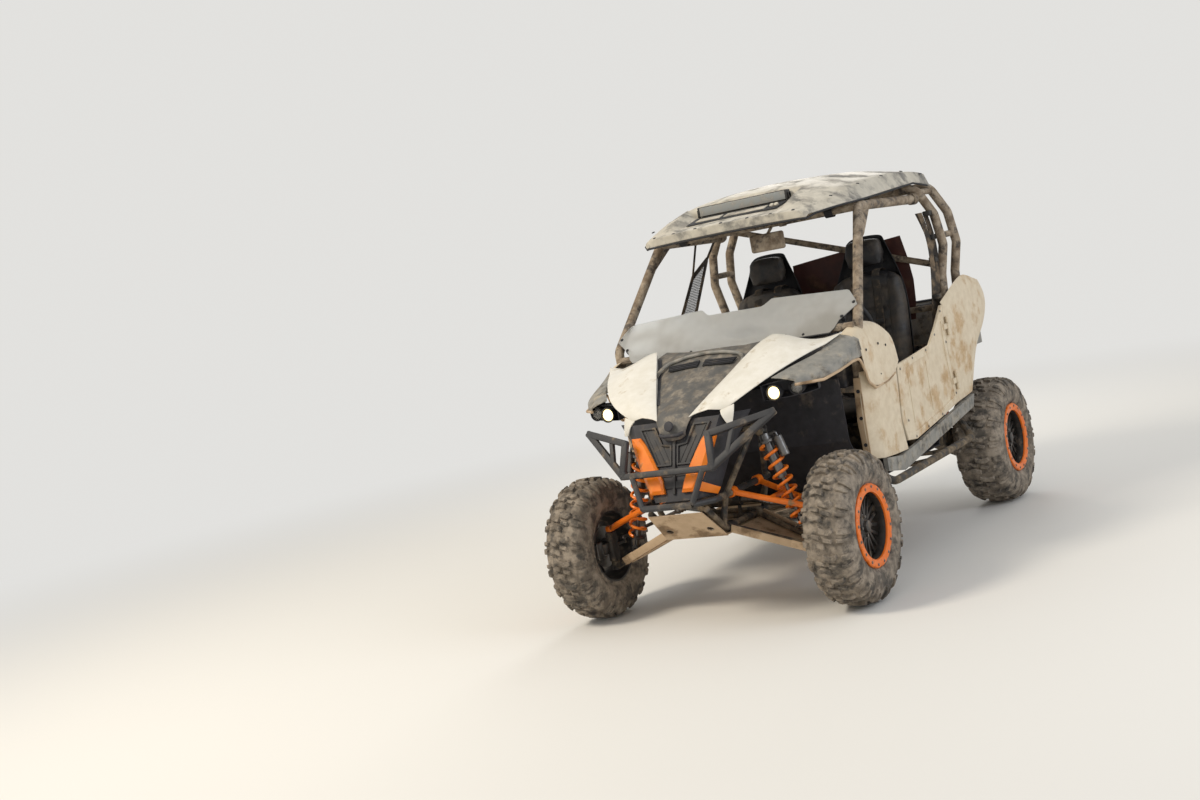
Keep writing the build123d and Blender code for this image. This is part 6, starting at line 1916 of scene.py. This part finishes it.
# %% Rear arms, links and shafts
arm_outline = [(524, 474), (528, 530), (590, 548), (780, 505), (960, 458), (1060, 432), (1104, 402),
    (1130, 356), (1104, 312), (1068, 292), (1010, 292), (860, 344), (580, 440)]
trailing_x = 450
bm = bmesh.new()
for side in (-1, 1):
    faces = plate(bm, [(side * trailing_x, y, z) for y, z in arm_outline], (side * 50, 0, 0))
    for way in (-1, 1):
        face = max(faces, key=lambda f: f.calc_center_median().x * way if len(f.verts) > 6 else -1e9)
        bmesh.ops.inset_region(bm, faces=[face], thickness=14, depth=0, use_even_offset=True)
        bmesh.ops.inset_region(bm, faces=[face], thickness=5, depth=-5, use_even_offset=True)
    pin(bm, (side * (trailing_x - 4), 560, 496), (side, 0, 0), 58, 24, 28)
    turned(bm, (side * (trailing_x + 50), 1070, 356), (side, 0, 0), [(0, 52), (14, 48), (22, 27), (120, 25),
        (120, 0.01)], 36)
piece(bm, "rear_arms", "frame_enamel", ["trailing_arms"], edge=1.5)

bm = bmesh.new()
for side in (-1, 1):
    for z in (318, 398):
        a, b = Vector((side * (trailing_x - 2), 1090, z)), Vector((side * 254, 1150, z + 192))
        tube(bm, [a, a + Vector((side * -26, 0, 0)), b + Vector((side * 16, 0, 0)), b], 10.5, 20)
        turned(bm, a + Vector((side * -24, 0, 0)), (side, 0, 0), [(0, 10), (2, 15), (16, 15), (18, 11)], 20)
        turned(bm, b + Vector((side * -8, 0, 0)), (side, 0, 0), [(0, 10), (2, 16), (18, 16), (20, 11)], 20)
piece(bm, "rear_links", "frame_enamel", ["radius_rods"])

bm = bmesh.new()
for side in (-1, 1):
    a, b = Vector((side * 181, 1040, 535)), Vector((side * (trailing_x - 1), 1040, 376))
    tube(bm, [a, a + Vector((side * 34, 0, 0)), b + Vector((side * -30, 0, 0)), b], 12.5, 20)
    run = (b - a).normalized()
    for spot, way in ((a, Vector((side, 0, 0)).lerp(run, 0.5)), (b, -Vector((side, 0, 0)).lerp(run, 0.5))):
        turned(bm, spot, way, [(0, 30), (20, 38), (26, 33), (32, 36), (38, 29), (44, 31), (50, 23),
            (56, 24), (66, 14)], 28)
piece(bm, "rear_shafts", "steel", ["half_shafts"])

# %% [markdown]
# A front knuckle is an iron casting: a post on the kingpin, the spindle, an arm for the tie rod and a brake
# caliper that straddles the disc. It turns with the steering, so it rides on its own body.

# %% Knuckles
for side, name in ((1, "left"), (-1, "right")):
    bm = bmesh.new()
    block(bm, (side * kingpin - 17, -1101, 281.5), (side * kingpin + 17, -1039, 430.5), 9, segments=3)
    turned(bm, (side * (kingpin + 10), front_y, 356), (side, 0, 0), [(0, 44), (8, 42), (14, 27), (138, 25),
        (138, 0.01)], 36)
    plate(bm, [(side * (kingpin - 14), -1046, 348), (side * (kingpin + 14), -1046, 348),
        (side * (kingpin + 11), -956, 348), (side * (kingpin - 11), -956, 348)], (0, 0, 15.5), 4)
    pin(bm, (side * kingpin, rack_y, 346), (0, 0, 1), 19, 13, 24)
    for low in (276, 430):
        pin(bm, (side * kingpin, front_y, low), (0, 0, 1), 5.5, 15, 24)
    piece(bm, f"knuckle_casting_{name}", "cast_iron", [f"knuckle_{name}"], f"knuckle_{name}")
    bm = bmesh.new()
    # the caliper's two halves, with the disc free between them, and its bridge outside the disc
    for low, high in ((616, 636), (656, 668)):
        block(bm, (side * low, -1202, 312), (side * high, -1148, 400), 5, segments=3)
    block(bm, (side * 620, -1208, 322), (side * 664, -1190, 390), 4)
    block(bm, (side * 612, -1160, 330), (side * 622, -1096, 382), 4)
    piece(bm, f"caliper_{name}", "damper", (), f"knuckle_{name}")
print("rear, engine and knuckles done")

# %% [markdown]
# The parts that keep their exact solids get the finish of what they are: the cabin's tub and the rocker
# panels.

# %% Finishes of the solids that show
shown = {"floor_tub": "dark_plastic", "rocker_panels": "body_grey"}
for name, obj in frame["nodes"].items():
    if not obj.hide_render:
        obj.data.materials.clear()
        obj.data.materials.append(paints[shown.get(name, "dark_plastic")])
        print("solid kept:", name)
